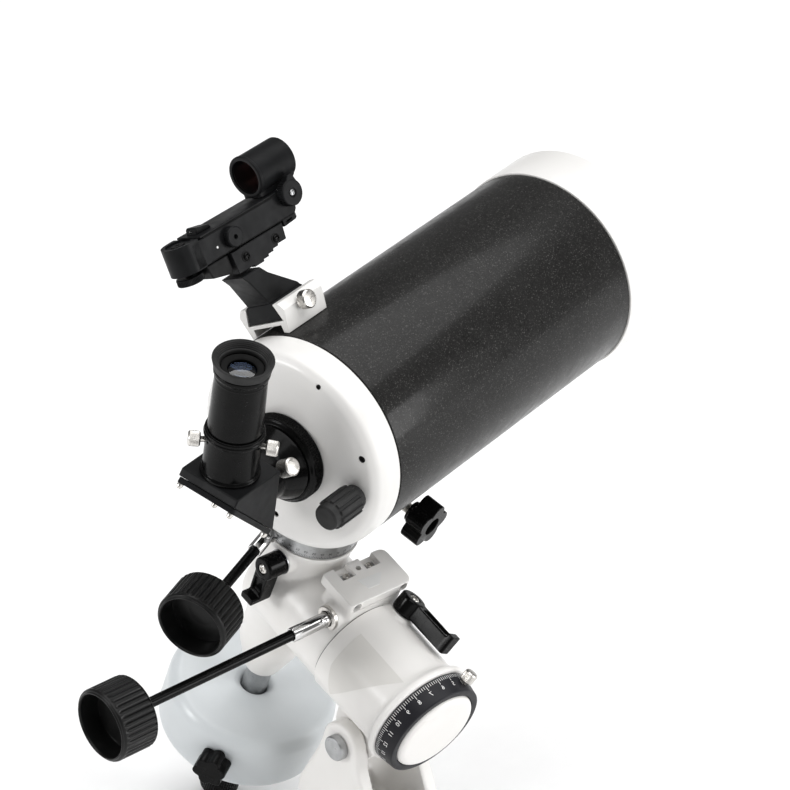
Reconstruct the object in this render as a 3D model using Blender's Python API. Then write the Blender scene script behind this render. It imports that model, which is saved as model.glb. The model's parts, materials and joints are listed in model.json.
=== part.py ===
"""Maksutov telescope on its equatorial mount head, as separate named pieces.

Lengths are in millimetres in this file and become metres in the meshes. World +Z is up, +Y points
horizontally towards the celestial pole, +X is east, and the origin is the centre of the base's underside.
"""

import math

import bmesh
import bpy
from mathutils import Euler, Matrix, Vector

MM = 0.001
GAP = 0.4

# Attitude of the mount.
LATITUDE = math.radians(22.3)
DECLINATION_TURN = math.radians(78.4)

# Driving sizes of the optical tube.
TUBE_RADIUS = 72.0
TUBE_WALL = 2.0
REAR_SEAM = -44.2
FRONT_SEAM = 209.8
CELL_BACK = REAR_SEAM - 25.0
RING_FRONT = 250.0

# One and a quarter inch eyepiece standard.
BARREL_RADIUS = 15.87
BARREL_BORE = 14.4
HOLDER_BORE = 16.2

# Mount head: heights are along the declination axis, depths along the polar axis.
TUBE_HEIGHT = 165.0
CIRCLE_TOP = 72.6
CIRCLE_RADIUS = 36.0
CIRCLE_BOTTOM = 58.5
DRUM_RADIUS = 35.5
HEAD_SEAM = -70.0
BARREL_LIP = -138.0
PIVOT = (0.0, -108.0, -48.0)
PIVOT_HEIGHT = 92.0
RA_WORM_START = (-24.0, -58.0, 28.3)
RA_WORM_DIRECTION = (-1.0, 0.0, -0.032)
DEC_WORM_START = (-31.6, 6.5, 51.5)
DEC_WORM_DIRECTION = (-0.923, -0.384, 0.0)
SHAFT_RADIUS = 9.0
KNOB_RADIUS = 25.0

# Diagonal, finder and focuser places.
DIAGONAL_DEPTH = -130.0
DIAGONAL_TURN = math.radians(-10.0)
FINDER_TURN = math.radians(-43.5)
FINDER_YAW = math.radians(4.0)
SHOE_TURN = math.radians(-47.5)
FOCUS_PLACE = (56.0, 10.5)


# ---------------------------------------------------------------- scene helpers

def clear_scene():
    for obj in list(bpy.data.objects):
        bpy.data.objects.remove(obj, do_unlink=True)


def material(name, colour, roughness, metallic=0.0):
    made = bpy.data.materials.new(name)
    made.use_nodes = True
    shader = made.node_tree.nodes["Principled BSDF"]
    shader.inputs["Base Color"].default_value = (*colour, 1.0)
    shader.inputs["Roughness"].default_value = roughness
    shader.inputs["Metallic"].default_value = metallic
    return made


def empty(name, parent=None, location=(0, 0, 0), rotation=(0, 0, 0)):
    made = bpy.data.objects.new(name, None)
    bpy.context.collection.objects.link(made)
    made.parent = parent
    made.location = Vector(location) * MM
    made.rotation_euler = rotation
    return made


def new_object(name, mesh, paint):
    mesh.materials.append(paint)
    obj = bpy.data.objects.new(name, mesh)
    bpy.context.collection.objects.link(obj)
    return obj


def finish_mesh(name, verts, faces, paint, smooth=True):
    """A closed mesh from millimetre points, with its faces turned outwards."""
    mesh = bpy.data.meshes.new(name)
    mesh.from_pydata([Vector(v) * MM for v in verts], [], faces)
    work = bmesh.new()
    work.from_mesh(mesh)
    bmesh.ops.recalc_face_normals(work, faces=work.faces)
    work.to_mesh(mesh)
    work.free()
    if smooth:
        mesh.shade_smooth()
        mesh.set_sharp_from_angle(angle=math.radians(35))
    return new_object(name, mesh, paint)


def lathe(name, profile, paint, segments=32):
    """Turns (radius, height) points about local Z. A profile that leaves the axis is closed on itself."""
    verts = []
    rings = []
    for radius, height in profile:
        if radius == 0:
            rings.append([len(verts)])
            verts.append((0, 0, height))
            continue
        rings.append(list(range(len(verts), len(verts) + segments)))
        for step in range(segments):
            turn = 2 * math.pi * step / segments
            verts.append((radius * math.cos(turn), radius * math.sin(turn), height))
    faces = []
    pairs = list(zip(rings, rings[1:]))
    if profile[0][0] and profile[-1][0]:
        pairs.append((rings[-1], rings[0]))
    for low, high in pairs:
        if len(low) == len(high) == 1:
            continue
        for step in range(segments):
            after = (step + 1) % segments
            if len(low) == 1:
                faces.append((low[0], high[step], high[after]))
            elif len(high) == 1:
                faces.append((low[step], low[after], high[0]))
            else:
                faces.append((low[step], low[after], high[after], high[step]))
    return finish_mesh(name, verts, faces, paint)


def extrude(name, outline, low, high, paint, taper=1.0):
    """A straight prism: the outline in local XY, from height low to height high."""
    count = len(outline)
    verts = [(x, y, low) for x, y in outline]
    verts += [(x * taper, y * taper, high) for x, y in outline]
    faces = [tuple(range(count)), tuple(range(count, 2 * count))]
    for step in range(count):
        after = (step + 1) % count
        faces.append((step, after, count + after, count + step))
    return finish_mesh(name, verts, faces, paint)


def loft(name, low, high, paint):
    """A solid between two matching loops of 3-D points."""
    count = len(low)
    faces = [tuple(range(count)), tuple(range(count, 2 * count))]
    for step in range(count):
        after = (step + 1) % count
        faces.append((step, after, count + after, count + step))
    return finish_mesh(name, list(low) + list(high), faces, paint, smooth=False)


def box(name, low, high, paint):
    outline = [(low[0], low[1]), (high[0], low[1]), (high[0], high[1]), (low[0], high[1])]
    return extrude(name, outline, low[2], high[2], paint)


def rod(name, radius, low, high, paint, segments=16):
    return lathe(name, [(0, low), (radius, low), (radius, high), (0, high)], paint, segments)


def star(radius, depth, lobes, points):
    """A closed outline whose radius waves in and out, for ribs and lobes."""
    outline = []
    for step in range(points):
        turn = 2 * math.pi * step / points
        reach = radius - depth * (0.5 - 0.5 * math.cos(lobes * turn))
        outline.append((reach * math.cos(turn), reach * math.sin(turn)))
    return outline


def rounded(width, depth, corner, steps=3):
    """A rectangle outline centred on the origin, with round corners."""
    outline = []
    for index, (sx, sy) in enumerate(((1, 1), (-1, 1), (-1, -1), (1, -1))):
        for step in range(steps + 1):
            turn = math.radians(90) * (index + step / steps)
            x = sx * (width / 2 - corner) + corner * math.cos(turn)
            y = sy * (depth / 2 - corner) + corner * math.sin(turn)
            outline.append((x, y))
    return outline


def place(obj, frame, location=(0, 0, 0), direction=None, rotation=None):
    """Puts an object in a frame, in millimetres; direction is where its local +Z points."""
    obj.parent = frame
    obj.location = Vector(location) * MM
    if direction is not None:
        obj.rotation_mode = "QUATERNION"
        obj.rotation_quaternion = Vector(direction).to_track_quat("Z", "Y")
    if rotation is not None:
        obj.rotation_euler = rotation
    return obj


def helper(obj):
    obj.hide_render = True
    obj.display_type = "WIRE"
    return obj


def combine(obj, operation, others, solver="EXACT"):
    for other in others:
        helper(other)
        step = obj.modifiers.new(operation.lower(), "BOOLEAN")
        step.operation = operation
        step.solver = solver
        step.object = other
    return obj


def cut(obj, *others):
    return combine(obj, "DIFFERENCE", others)


def join(obj, *others):
    return combine(obj, "UNION", others)


ALONG_TUBE = (math.radians(-90), 0, 0)


def on_tube(obj, frame, x=0.0, z=0.0):
    """Turned pieces whose local Z runs forward along the optical axis."""
    return place(obj, frame, (x, 0, z), rotation=ALONG_TUBE)


# ---------------------------------------------------------------- optical tube

def arc_heights(radii, edge_height, centre_height):
    """Heights of a shallow spherical surface at the given radii."""
    widest = max(radii)
    return [(r, centre_height + (edge_height - centre_height) * (r / widest) ** 2) for r in radii]


def build_tube(frame, paints):
    white, black, tube_paint = paints["white_paint"], paints["black_plastic"], paints["tube_paint"]
    glass, metal, dark = paints["coated_glass"], paints["bare_metal"], paints["flat_black"]

    inner = TUBE_RADIUS - TUBE_WALL
    wall = [(inner, REAR_SEAM + GAP), (TUBE_RADIUS, REAR_SEAM + GAP),
            (TUBE_RADIUS, FRONT_SEAM), (inner, FRONT_SEAM)]
    on_tube(lathe("main_tube", wall, tube_paint, 48), frame)

    ring = [(73, FRONT_SEAM + GAP), (73, 247.5), (71, RING_FRONT), (66.5, RING_FRONT), (66.5, 236.5),
            (65.2, 236.5), (65.2, 222), (61.5, 222), (61.5, 218), (67, 218), (67, 204),
            (69.6, 204), (69.6, FRONT_SEAM + GAP)]
    on_tube(lathe("front_cell_ring", ring, white, 48), frame)

    lens_radii = [0, 32, 64.6]
    front = arc_heights(lens_radii, 236.0, 224.7)
    back = arc_heights(lens_radii, 224.0, 212.7)
    on_tube(lathe("corrector_lens", front + back[::-1], glass, 32), frame)

    spot = [(0, 212.2), (21, 212.2), (19, 190), (17.6, 190), (19.4, 210.6), (0, 210.6)]
    on_tube(lathe("secondary_baffle", spot, dark, 24), frame)

    baffle = [(15, CELL_BACK - 2.5), (21.4, CELL_BACK - 2.5), (21.4, -61.8), (18, -61.8),
              (18, 60), (14.5, 112), (13.5, 112), (15, 60)]
    on_tube(lathe("baffle_tube", baffle, dark, 24), frame)

    mirror_radii = [20.8, 42, 63]
    face = arc_heights(mirror_radii, -27.0, -30.6)
    on_tube(lathe("primary_mirror", [(63, -40), (20.8, -40)] + face, paints["mirror"], 32), frame)

    carrier = [(18.5, -56), (30, -56), (30, -46.4), (60, -46.4), (60, -41), (20.2, -41),
               (20.2, -33), (18.5, -33)]
    mirror_carrier = on_tube(lathe("mirror_carrier", carrier, metal, 32), frame)
    boss = on_tube(rod("carrier_boss", 5, -53, -44, metal), frame, FOCUS_PLACE[0], FOCUS_PLACE[1])
    thread = on_tube(rod("carrier_thread", 3.6, -70, -30, metal), frame, FOCUS_PLACE[0], FOCUS_PLACE[1])
    cut(join(mirror_carrier, boss), thread)

    cell = [(TUBE_RADIUS, REAR_SEAM - GAP), (TUBE_RADIUS, -58), (70.6, -64), (66, -68), (22, CELL_BACK),
            (22, -64.5), (60, -63.6), (66, -56), (66, -33), (69.6, -33), (69.6, REAR_SEAM - GAP)]
    rear_cell = on_tube(lathe("rear_cell", cell, white, 48), frame)
    hole = on_tube(rod("focus_hole", 4.5, -80, -50, white), frame, FOCUS_PLACE[0], FOCUS_PLACE[1])
    cut(rear_cell, hole)

    focus_screw = on_tube(rod("focus_screw", 3, -84, -46, metal), frame, FOCUS_PLACE[0], FOCUS_PLACE[1])
    focus_screw.data.materials[0] = metal
    knob = extrude("focus_knob", star(10.4, 0, 1, 24), 4, 32, paints["black_rubber"], taper=0.88)
    collar = rod("knob_collar", 8.2, 0, 6, paints["black_rubber"], 24)
    bore = rod("knob_bore", 3.4, -2, 14, paints["black_rubber"])
    for piece in (knob, collar, bore):
        place(piece, frame, (FOCUS_PLACE[0], CELL_BACK - 1.2, FOCUS_PLACE[1]), direction=(0, -1, 0))
    cut(join(knob, collar), bore)

    knurl = [(22, CELL_BACK - GAP), (30.2, CELL_BACK - GAP), (30.2, -78), (27.5, -80), (22, -80)]
    on_tube(lathe("visual_back_ring", knurl, black, 32), frame)

    body = [(HOLDER_BORE, -72.4), (21.5, -72.4), (21.5, -80.4), (26.2, -80.4), (19, -93),
            (18.6, -104.6), (HOLDER_BORE, -104.6)]
    visual_back = on_tube(lathe("visual_back", body, black, 24), frame)
    turn = math.radians(51)
    out = (math.cos(turn), 0, math.sin(turn))
    screw_place = (0, -98.0, 0)
    screw_hole = place(rod("visual_back_hole", 2.3, 12, 30, black, 12), frame, screw_place, out)
    cut(visual_back, screw_hole)
    place(thumbscrew("visual_back_screw", 16.6, 20.2, 29.5, 5.6, metal), frame, screw_place, out)

    bar = extrude("dovetail_bar", [(-22, -16), (22, -16), (22, 70), (-22, 70)], -86.4, -73.2, metal)
    flank = [box("flank_cutter_" + side, (-4, -40, -20), (4, 90, 20), metal) for side in ("left", "right")]
    place(bar, frame)
    place(flank[0], frame, (-25.0, 0, -80), rotation=(0, math.radians(12), 0))
    place(flank[1], frame, (25.0, 0, -80), rotation=(0, math.radians(-12), 0))
    cut(bar, *flank)


def thumbscrew(name, tip, head_low, head_high, head_radius, paint, rod_radius=1.9):
    """A thumbscrew along local Z: the plain rod from its tip, then the knurled head."""
    profile = [(0, tip), (rod_radius, tip), (rod_radius, head_low), (head_radius - 0.8, head_low),
               (head_radius, head_low + 0.8), (head_radius, head_high - 0.8), (head_radius - 0.8, head_high),
               (0, head_high)]
    return lathe(name, profile, paint, 16)


# ---------------------------------------------------------------- diagonal and eyepiece

def build_diagonal(frame, paints):
    dark, black, metal = paints["dark_anodised"], paints["gloss_black"], paints["bare_metal"]
    half = 22.7
    section = [(-22.5, 22.5), (22.5, 22.5), (22.5, -27.5), (-22.5, 17.5)]
    # The outline is drawn in Y and Z of the frame and extruded across X.
    across = (math.radians(90), 0, math.radians(90))

    def across_box(name, outline, reach, paint):
        return place(extrude(name, outline, -reach, reach, paint), frame, rotation=across)

    body = across_box("diagonal_body", section, half, dark)
    pocket = across_box("prism_pocket", [(15.2, 15.2), (-29, 15.2), (15.2, -29)], 17.4, dark)
    front_bore = place(rod("front_bore", BARREL_BORE, 10, 30, dark, 24), frame, direction=(0, 1, 0))
    top_bore = place(rod("top_bore", BARREL_BORE, 10, 30, dark, 24), frame)
    cut(body, pocket, front_bore, top_bore)
    across_box("diagonal_prism", [(14.8, 14.8), (-19.2, 14.8), (14.8, -19.2)], 17, paints["clear_glass"])

    slope = (math.radians(-45), 0, 0)
    plate = place(extrude("diagonal_plate", rounded(2 * half, 62, 2), -1.5, 1.5, dark), frame,
                  (0, -1.4, -6.4), rotation=slope)
    plate.name = "diagonal_plate"

    nose = [(BARREL_BORE, 22.9), (BARREL_RADIUS, 22.9), (BARREL_RADIUS, 51), (BARREL_BORE, 51)]
    place(lathe("diagonal_nosepiece", nose, metal, 24), frame, direction=(0, 1, 0))

    holder = [(HOLDER_BORE, 22.9), (18.8, 22.9), (18.8, 25.5), (17.8, 25.5), (17.8, 52), (19.2, 52),
              (19.2, 57), (HOLDER_BORE, 57)]
    tube = place(lathe("eyepiece_holder", holder, black, 24), frame)
    for number, degrees in ((1, 29), (2, -140)):
        turn = math.radians(degrees)
        out = (math.cos(turn), math.sin(turn), 0)
        hole = place(rod(f"holder_hole_{number}", 2.3, 12, 30, black, 12), frame, (0, 0, 46), out)
        cut(tube, hole)
        screw = thumbscrew(f"holder_thumbscrew_{number}", 16.6, 20.6, 28.5, 5.0, metal)
        place(screw, frame, (0, 0, 46), out)

    barrel = [(14.6, 25), (BARREL_RADIUS, 25), (BARREL_RADIUS, 65), (14.6, 65)]
    place(lathe("eyepiece_barrel", barrel, metal, 24), frame)
    shell = [(16.3, 57.4), (17.5, 57.4), (16.6, 99.5), (17.9, 101.5), (17.9, 104),
             (9.6, 104), (9.6, 97.5), (13, 92), (13, 66), (16.3, 66)]
    place(lathe("eyepiece_body", shell, black, 24), frame)
    cup = [(14.2, 104.4), (18.1, 104.4), (19.6, 111.4), (17.6, 111.4), (15.2, 107)]
    place(lathe("eyecup", cup, paints["black_rubber"], 24), frame)
    lens = [(0, 98.4), (9.2, 99.3), (9.2, 102), (5, 102.9), (0, 103.2)]
    place(lathe("eye_lens", lens, paints["coated_glass"], 24), frame)


# ---------------------------------------------------------------- red dot finder

def build_finder_shoe(frame, paints):
    white, black = paints["white_paint"], paints["dark_anodised"]
    along = (math.radians(90), 0, math.radians(180))
    shoe_outline = [(-16, 66), (16, 66), (21, 86), (17.5, 90.8), (12.6, 90.8), (16.4, 79), (-16.4, 79),
                    (-12.6, 90.8), (-17.5, 90.8), (-21, 86)]
    mirrored = [(-x, z) for x, z in shoe_outline]
    shoe = place(extrude("finder_shoe", mirrored, -41.5, -3, white), frame, rotation=along)
    seat = place(rod("shoe_seat", TUBE_RADIUS + GAP, -60, 10, white, 48), frame, direction=(0, 1, 0))
    screw_hole = place(rod("shoe_screw_hole", 2.4, 5, 40, white, 12), frame, (0, -24, 85), (1, 0, 0))
    cut(shoe, seat, screw_hole)
    screw = thumbscrew("finder_shoe_screw", 15.2, 21.8, 29, 5.6, paints["bare_metal"])
    place(screw, frame, (0, -24, 85), (1, 0, 0))

    wedge_outline = [(-15.9, 79.5), (15.9, 79.5), (11.8, 92.3), (-11.8, 92.3)]
    wedge = place(extrude("finder_foot", wedge_outline, -41, -10, black), frame, rotation=along)
    dimple = place(rod("foot_dimple", 2.4, 13, 40, black, 12), frame, (0, -24, 85), (1, 0, 0))
    return wedge, dimple


def build_finder(frame, shoe_frame, paints):
    dark, rubber, glass = paints["dark_anodised"], paints["black_plastic"], paints["coated_glass"]
    wedge, dimple = build_finder_shoe(shoe_frame, paints)

    column_low = [(-9, -40.5, 91.5), (9, -40.5, 91.5), (9, -12, 91.5), (-9, -12, 91.5)]
    lean = Matrix.Rotation(FINDER_TURN - SHOE_TURN, 3, "Y")
    column_high = [lean @ Vector((x, y, 118.6)) for x, y in ((-10, -60), (10, -60), (10, -43), (-10, -43))]
    column = place(loft("foot_column", column_low, column_high, dark), shoe_frame)
    join(wedge, column)
    cut(wedge, dimple)

    ribs = [(-63.5, 121), (-50, 121), (-50, 119.6), (-41, 119.6), (-41, 121), (-36, 121), (-36, 122.4),
            (-31, 122.4), (-31, 123.8), (-26, 123.8), (-26, 125), (-18, 125), (-17, 135.8), (-64.5, 135.8)]
    across = (math.radians(90), 0, math.radians(90))
    place(extrude("finder_clamp", ribs, -12.5, 12.5, dark), frame, rotation=across)

    side = [(-91, 136.4), (-3, 136.4), (-1, 139), (-1, 146), (-5, 153.5), (-91, 155.2)]
    body = place(extrude("finder_body", side, -11.8, 11.8, dark), frame, rotation=across)
    heel = place(lathe("body_heel", [(0, 136.4), (11.8, 136.4), (11.8, 155.2), (0, 155.2)], dark, 24), frame,
                 (0, -91, 0))
    lamp = place(box("lamp_housing", (-4, -77, 152), (4, -69, 161.5), dark), frame)
    join(body, heel, lamp)

    barrel = [(12.2, -22), (14.3, -22), (14.3, 11), (12.2, 11)]
    sight = place(lathe("finder_tube", barrel, dark, 24), frame, (0, 0, 169.7), rotation=ALONG_TUBE)
    neck_outline = [(-21.8, 155.7), (-6, 154.1), (6, 154.1), (10.8, 158), (10.8, 160), (-21.8, 160)]
    neck = place(extrude("sight_neck", neck_outline, -8, 8, dark), frame, rotation=across)
    hollow = place(rod("sight_hollow", 12.2, -40, 30, dark, 24), frame, (0, 0, 169.7), rotation=ALONG_TUBE)
    cut(join(sight, neck), hollow)
    lens = [(0, 5), (11.8, 6.4), (11.8, 8.2), (0, 6.8)]
    place(lathe("finder_lens", lens, glass, 24), frame, (0, 0, 169.7), rotation=ALONG_TUBE)

    power = extrude("finder_power_knob", star(8.7, 0, 1, 24), 0, 6, dark)
    fin = extrude("power_fin", [(-3, 7), (3.5, 7), (5, 11)], 0.6, 6, dark)
    for piece in (power, fin):
        place(piece, frame, (12.2, -4.5, 150.6), rotation=(0, math.radians(90), 0))
    fin.rotation_euler = (math.radians(90), 0, math.radians(90))
    join(power, fin)

    place(rod("finder_azimuth_knob", 6.8, 0, 4.4, dark, 24), frame, (12.2, -59, 144.8), (1, 0, 0))
    wheel = extrude("finder_altitude_wheel", star(9, 0, 1, 24), -2.6, 2.2, rubber)
    place(wheel, frame, (0, -92, 131.6))
    stem = place(rod("wheel_stem", 2.5, 2, 4.3, rubber, 12), frame, (0, -92, 131.6))
    join(wheel, stem)


# ---------------------------------------------------------------- mount, parts that turn with declination

def build_declination(frame, paints):
    """frame is centred on the declination axis, at the level of the polar axis, turned with the tube."""
    white, metal, black = paints["white_paint"], paints["bare_metal"], paints["gloss_black"]
    circle = [(18, CIRCLE_BOTTOM), (CIRCLE_RADIUS - 3, CIRCLE_BOTTOM), (CIRCLE_RADIUS - 3, 66), (CIRCLE_RADIUS, 67),
              (CIRCLE_RADIUS, CIRCLE_TOP), (18, CIRCLE_TOP)]
    place(lathe("declination_circle", circle, metal, 40), frame)

    axle = [(0, -30), (7.5, -30), (7.5, 46), (12.4, 46.4), (12.4, 57.6), (7.5, 58), (7.5, CIRCLE_TOP), (0, CIRCLE_TOP)]
    place(lathe("declination_axle", axle, metal, 24), frame)

    plinth = extrude("saddle", [(-30, -18), (30, -18), (30, 62), (-30, 62)], 73, 90, white)
    place(plinth, frame)
    channel = extrude("saddle_channel", [(-23, 78), (23, 78), (20, 93), (-20, 93)], -60, 80, white)
    place(channel, frame, rotation=(math.radians(90), 0, math.radians(180)))
    knob_hole = place(rod("saddle_screw_hole", 4.4, 15, 60, white, 16), frame, (0, 40, 78), (1, 0, 0))
    cut(plinth, channel, knob_hole)

    knob = extrude("saddle_clamp_knob", star(16.5, 4, 5, 40), 50, 65, black)
    stud = rod("clamp_stud", 4, 22.8, 52, black, 12)
    recess = rod("knob_recess", 7, 59, 70, black, 16)
    for piece in (knob, stud, recess):
        place(piece, frame, (0, 40, 78), (1, 0, 0))
    cut(join(knob, stud), recess)


# ---------------------------------------------------------------- mount head

def build_head(frame, paints):
    white, metal, black, rubber = (paints[slot] for slot in
                                   ("mount_paint", "bare_metal", "gloss_black", "black_plastic"))
    housing = [(0, -95), (11, -95), (22.5, -66), (22.8, -38), (29, -12), (31, 20), (31, 50), (33, 56),
               (33, CIRCLE_BOTTOM - 0.7), (0, CIRCLE_BOTTOM - 0.7)]
    casting = place(lathe("head_casting", housing, white, 28), frame)
    drum = place(rod("head_drum", DRUM_RADIUS, HEAD_SEAM, 14, white, 36), frame, direction=(0, 1, 0))
    shoulder = place(extrude("worm_box", rounded(46, 27.5, 4, 2), 10, 40, white), frame, (4, -55.6, 0))
    axle_bore = place(rod("axle_bore", 9.6, -32, 70, white, 24), frame)
    gear_room = place(rod("gear_room", 13.2, 45, 70, white, 24), frame)
    polar_bore = place(rod("polar_bore", 10.4, -90, -13, white, 24), frame, direction=(0, 1, 0))
    wheel_room = place(rod("wheel_room", 24, -90, -50, white, 24), frame, direction=(0, 1, 0))
    ra_room = place(rod("ra_worm_room", 6.6, -48, 20, white, 12), frame, RA_WORM_START, RA_WORM_DIRECTION)
    dec_room = place(rod("dec_worm_room", 6.2, -36, 30, white, 12), frame, DEC_WORM_START, DEC_WORM_DIRECTION)
    shaft_room = place(rod("shaft_room", SHAFT_RADIUS + GAP, -120, -60, white, 24), frame)
    combine(casting, "UNION", (drum, shoulder), "MANIFOLD")
    rooms = (axle_bore, gear_room, polar_bore, wheel_room, ra_room, dec_room, shaft_room)
    combine(casting, "DIFFERENCE", rooms, "MANIFOLD")

    cover = extrude("worm_block", rounded(54, 27.5, 4, 2), 40.4, 48, white)
    place(cover, frame, (7, -55.6, 0))

    # Slow motion drives: a worm in the casting, a coupler, a drive shaft and a hollow ribbed knob.
    def drive(prefix, place_at, toward, worm_radius, reach, coupler, cable_end):
        worm = lathe(prefix + "_worm", [(0, -reach), (worm_radius, -reach), (worm_radius, -4), (5, -4),
                                        (5, coupler), (3.95, coupler), (3.95, coupler - 12), (0, coupler - 12)],
                     metal, 16)
        place(worm, frame, place_at, toward)
        cable = rod(prefix + "_drive_shaft", 3.6, coupler - 11.6, cable_end, rubber, 12)
        place(cable, frame, place_at, toward)
        hub = rod(prefix + "_slow_knob", KNOB_RADIUS, cable_end - 12, cable_end + 19, black, 32)
        hollow = lathe("knob_hollow_" + prefix, [(0, cable_end + 4), (KNOB_RADIUS - 4, cable_end + 4),
                                                 (KNOB_RADIUS - 3, cable_end + 30), (0, cable_end + 30)], black, 32)
        bore = rod("knob_bore_" + prefix, 3.9, cable_end - 20, cable_end + 0.4, black, 12)
        for piece in (hub, hollow, bore):
            place(piece, frame, place_at, toward)
        cut(hub, hollow, bore)

    drive("ra", RA_WORM_START, RA_WORM_DIRECTION, 6.0, 46, 24, 172)
    drive("declination", DEC_WORM_START, DEC_WORM_DIRECTION, 5.2, 34, 22, 90)

    # Declination lock lever on the casting's west side.
    hub = rod("declination_lock_lever", 8.4, 0, 15, black, 24)
    arm = extrude("dec_arm", [(-6, -4), (6, -4), (5.2, -29), (-5.2, -29)], 7, 15, black)
    bend = extrude("dec_toe", [(-5.2, -24), (5.2, -24), (5.2, -29), (-5.2, -29)], 8, 21, black)
    for piece in (hub, arm, bend):
        place(piece, frame, (-32.5, -10, 39), rotation=(math.radians(90), 0, math.radians(-90)))
    join(hub, arm, bend)

    shaft = [(0, -230), (6, -230), (6, -206), (SHAFT_RADIUS, -205.4), (SHAFT_RADIUS, -64), (0, -64)]
    place(lathe("counterweight_shaft", shaft, metal, 24), frame)
    toe = [(6.4, -229), (12, -229), (14, -227), (14, -208), (12, -206.4), (6.4, -206.4)]
    place(lathe("shaft_end_stop", toe, black, 24), frame)
    weight = [(SHAFT_RADIUS + GAP, -160), (56, -160), (60, -156), (60, -118), (55, -113),
              (SHAFT_RADIUS + GAP, -113)]
    iron = place(lathe("counterweight", weight, paints["weight_paint"], 40), frame)
    turn = math.radians(-150)
    out = (math.cos(turn), math.sin(turn), 0)
    hole = place(rod("weight_hole", 4, 5, 70, white, 16), frame, (0, 0, -137), out)
    cut(iron, hole)
    screw = place(rod("counterweight_screw", 3.5, 10.2, 68, metal, 12), frame, (0, 0, -137), out)
    screw_knob = extrude("weight_knob", star(12, 2.6, 6, 36), 60.8, 74, black)
    place(screw_knob, frame, (0, 0, -137), out)
    join(screw, screw_knob)


# ---------------------------------------------------------------- polar axis housing and base

def build_polar_housing(frame, paints):
    white, metal, black = paints["mount_paint"], paints["bare_metal"], paints["gloss_black"]
    barrel = [(0, HEAD_SEAM - 0.8), (37, HEAD_SEAM - 0.8), (36, -128), (37.5, -132), (41, BARREL_LIP + 4),
              (41, BARREL_LIP), (31, BARREL_LIP), (31, -153.5), (28, -156), (0, -156)]
    housing = place(lathe("polar_housing", barrel, white, 32), frame, rotation=ALONG_TUBE)
    lug_outline = [(-128, -22), (-128, -44), (-120, -60), (-108, -66), (-96, -60), (-88, -44), (-86, -22)]
    across = (math.radians(90), 0, math.radians(90))
    lug = place(extrude("latitude_lug", lug_outline, -20, 20, white), frame, rotation=across)
    bore = place(rod("polar_room", 10.6, -150, -60, white, 24), frame, direction=(0, 1, 0))
    pin_hole = place(rod("pin_hole", 6.2, -60, 60, white, 24), frame, PIVOT, (1, 0, 0))
    lever_turn = math.radians(57)
    lever_out = Vector((math.cos(lever_turn), 0, math.sin(lever_turn)))
    lever_seat = place(rod("lever_seat", 9, 24, 38.5, white, 24), frame, (0, -80.5, 0), lever_out)
    join(housing, lug, lever_seat)
    cut(housing, bore, pin_hole)

    wheel = [(0, -149), (10, -149), (10, -66), (22.3, -65.6), (22.3, -52), (10, -51.6), (9.8, -14), (0, -14)]
    place(lathe("polar_axle", wheel, metal, 24), frame, rotation=ALONG_TUBE)

    circle = [(31.5, BARREL_LIP - 0.5), (38.5, BARREL_LIP - 0.5), (36.5, -153), (31.5, -153)]
    ring = place(lathe("ra_setting_circle", circle, paints["dial_black"], 32), frame, rotation=ALONG_TUBE)
    turn = math.radians(58)
    out = (math.cos(turn), 0, math.sin(turn))
    hole = place(rod("circle_hole", 2.3, 36, 45, black, 12), frame, (0, -147, 0), out)
    cut(ring, hole)
    place(thumbscrew("ra_circle_screw", 37.2, 39.2, 47, 4.6, metal), frame, (0, -147, 0), out)

    hub = rod("ra_lock_lever", 9.4, 0, 13, black, 24)
    arm = extrude("ra_arm", [(-6.5, -4), (6.5, -4), (6.2, -42), (-6.2, -42)], 4, 13, black)
    toe = extrude("ra_toe", [(-6.2, -37), (6.2, -37), (6.2, -42), (-6.2, -42)], 5, 18, black)
    spot = Vector((0, -80.5, 0)) + 39 * lever_out
    for piece in (hub, arm, toe):
        place(piece, frame, spot, rotation=(0, math.radians(90) - lever_turn, 0))
    join(hub, arm, toe)


def build_base(frame, pivot_frame, paints):
    """frame is the world; pivot_frame is a level frame centred on the latitude pin."""
    white, metal, black = paints["mount_paint"], paints["bare_metal"], paints["gloss_black"]
    disc = lathe("latitude_base", [(0, 0), (50, 0), (52, 2), (52, 12), (46, 18), (42, 26), (0, 26)], white, 40)
    place(disc, frame)
    down = -PIVOT_HEIGHT
    cheek_outline = [(-34, down + 20), (46, down + 20), (44, -46), (20, -6), (14, 12), (0, 18), (-12, 13),
                     (-17, 2), (-17, -14), (-34, -58)]
    across = (math.radians(90), 0, math.radians(90))
    cheeks = [place(extrude("cheek_" + side, cheek_outline, low, high, white), pivot_frame, rotation=across)
              for side, low, high in (("west", -31, -20.8), ("east", 20.8, 31))]
    webs = [place(box("base_web_" + side, (-22, near, down + 20), (22, near + 14, -52), white), pivot_frame)
            for side, near in (("rear", -38), ("front", 26))]
    pin_hole = place(rod("base_pin_hole", 6.2, -60, 60, white, 24), pivot_frame, direction=(1, 0, 0))
    bolt_hole = place(rod("base_bolt_hole", 5.2, 10, 60, white, 16), pivot_frame, (0, 0, -60), (0, -1, 0))
    combine(disc, "UNION", (*cheeks, *webs), "MANIFOLD")
    combine(disc, "DIFFERENCE", (pin_hole, bolt_hole), "MANIFOLD")

    pin = [(0, -37), (9, -37), (9, -31.5), (5.8, -31.5), (5.8, 31.5), (9, 31.5), (9, 37), (0, 37)]
    place(lathe("latitude_pin", pin, metal, 24), pivot_frame, direction=(1, 0, 0))

    bolt = place(rod("latitude_bolt", 4.8, 14, 72, metal, 16), pivot_frame, (0, 0, -60), (0, -1, 0))
    grip = place(box("bolt_grip", (-20, -78, -64), (20, -70, -56), metal), pivot_frame)
    join(bolt, grip)


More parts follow.
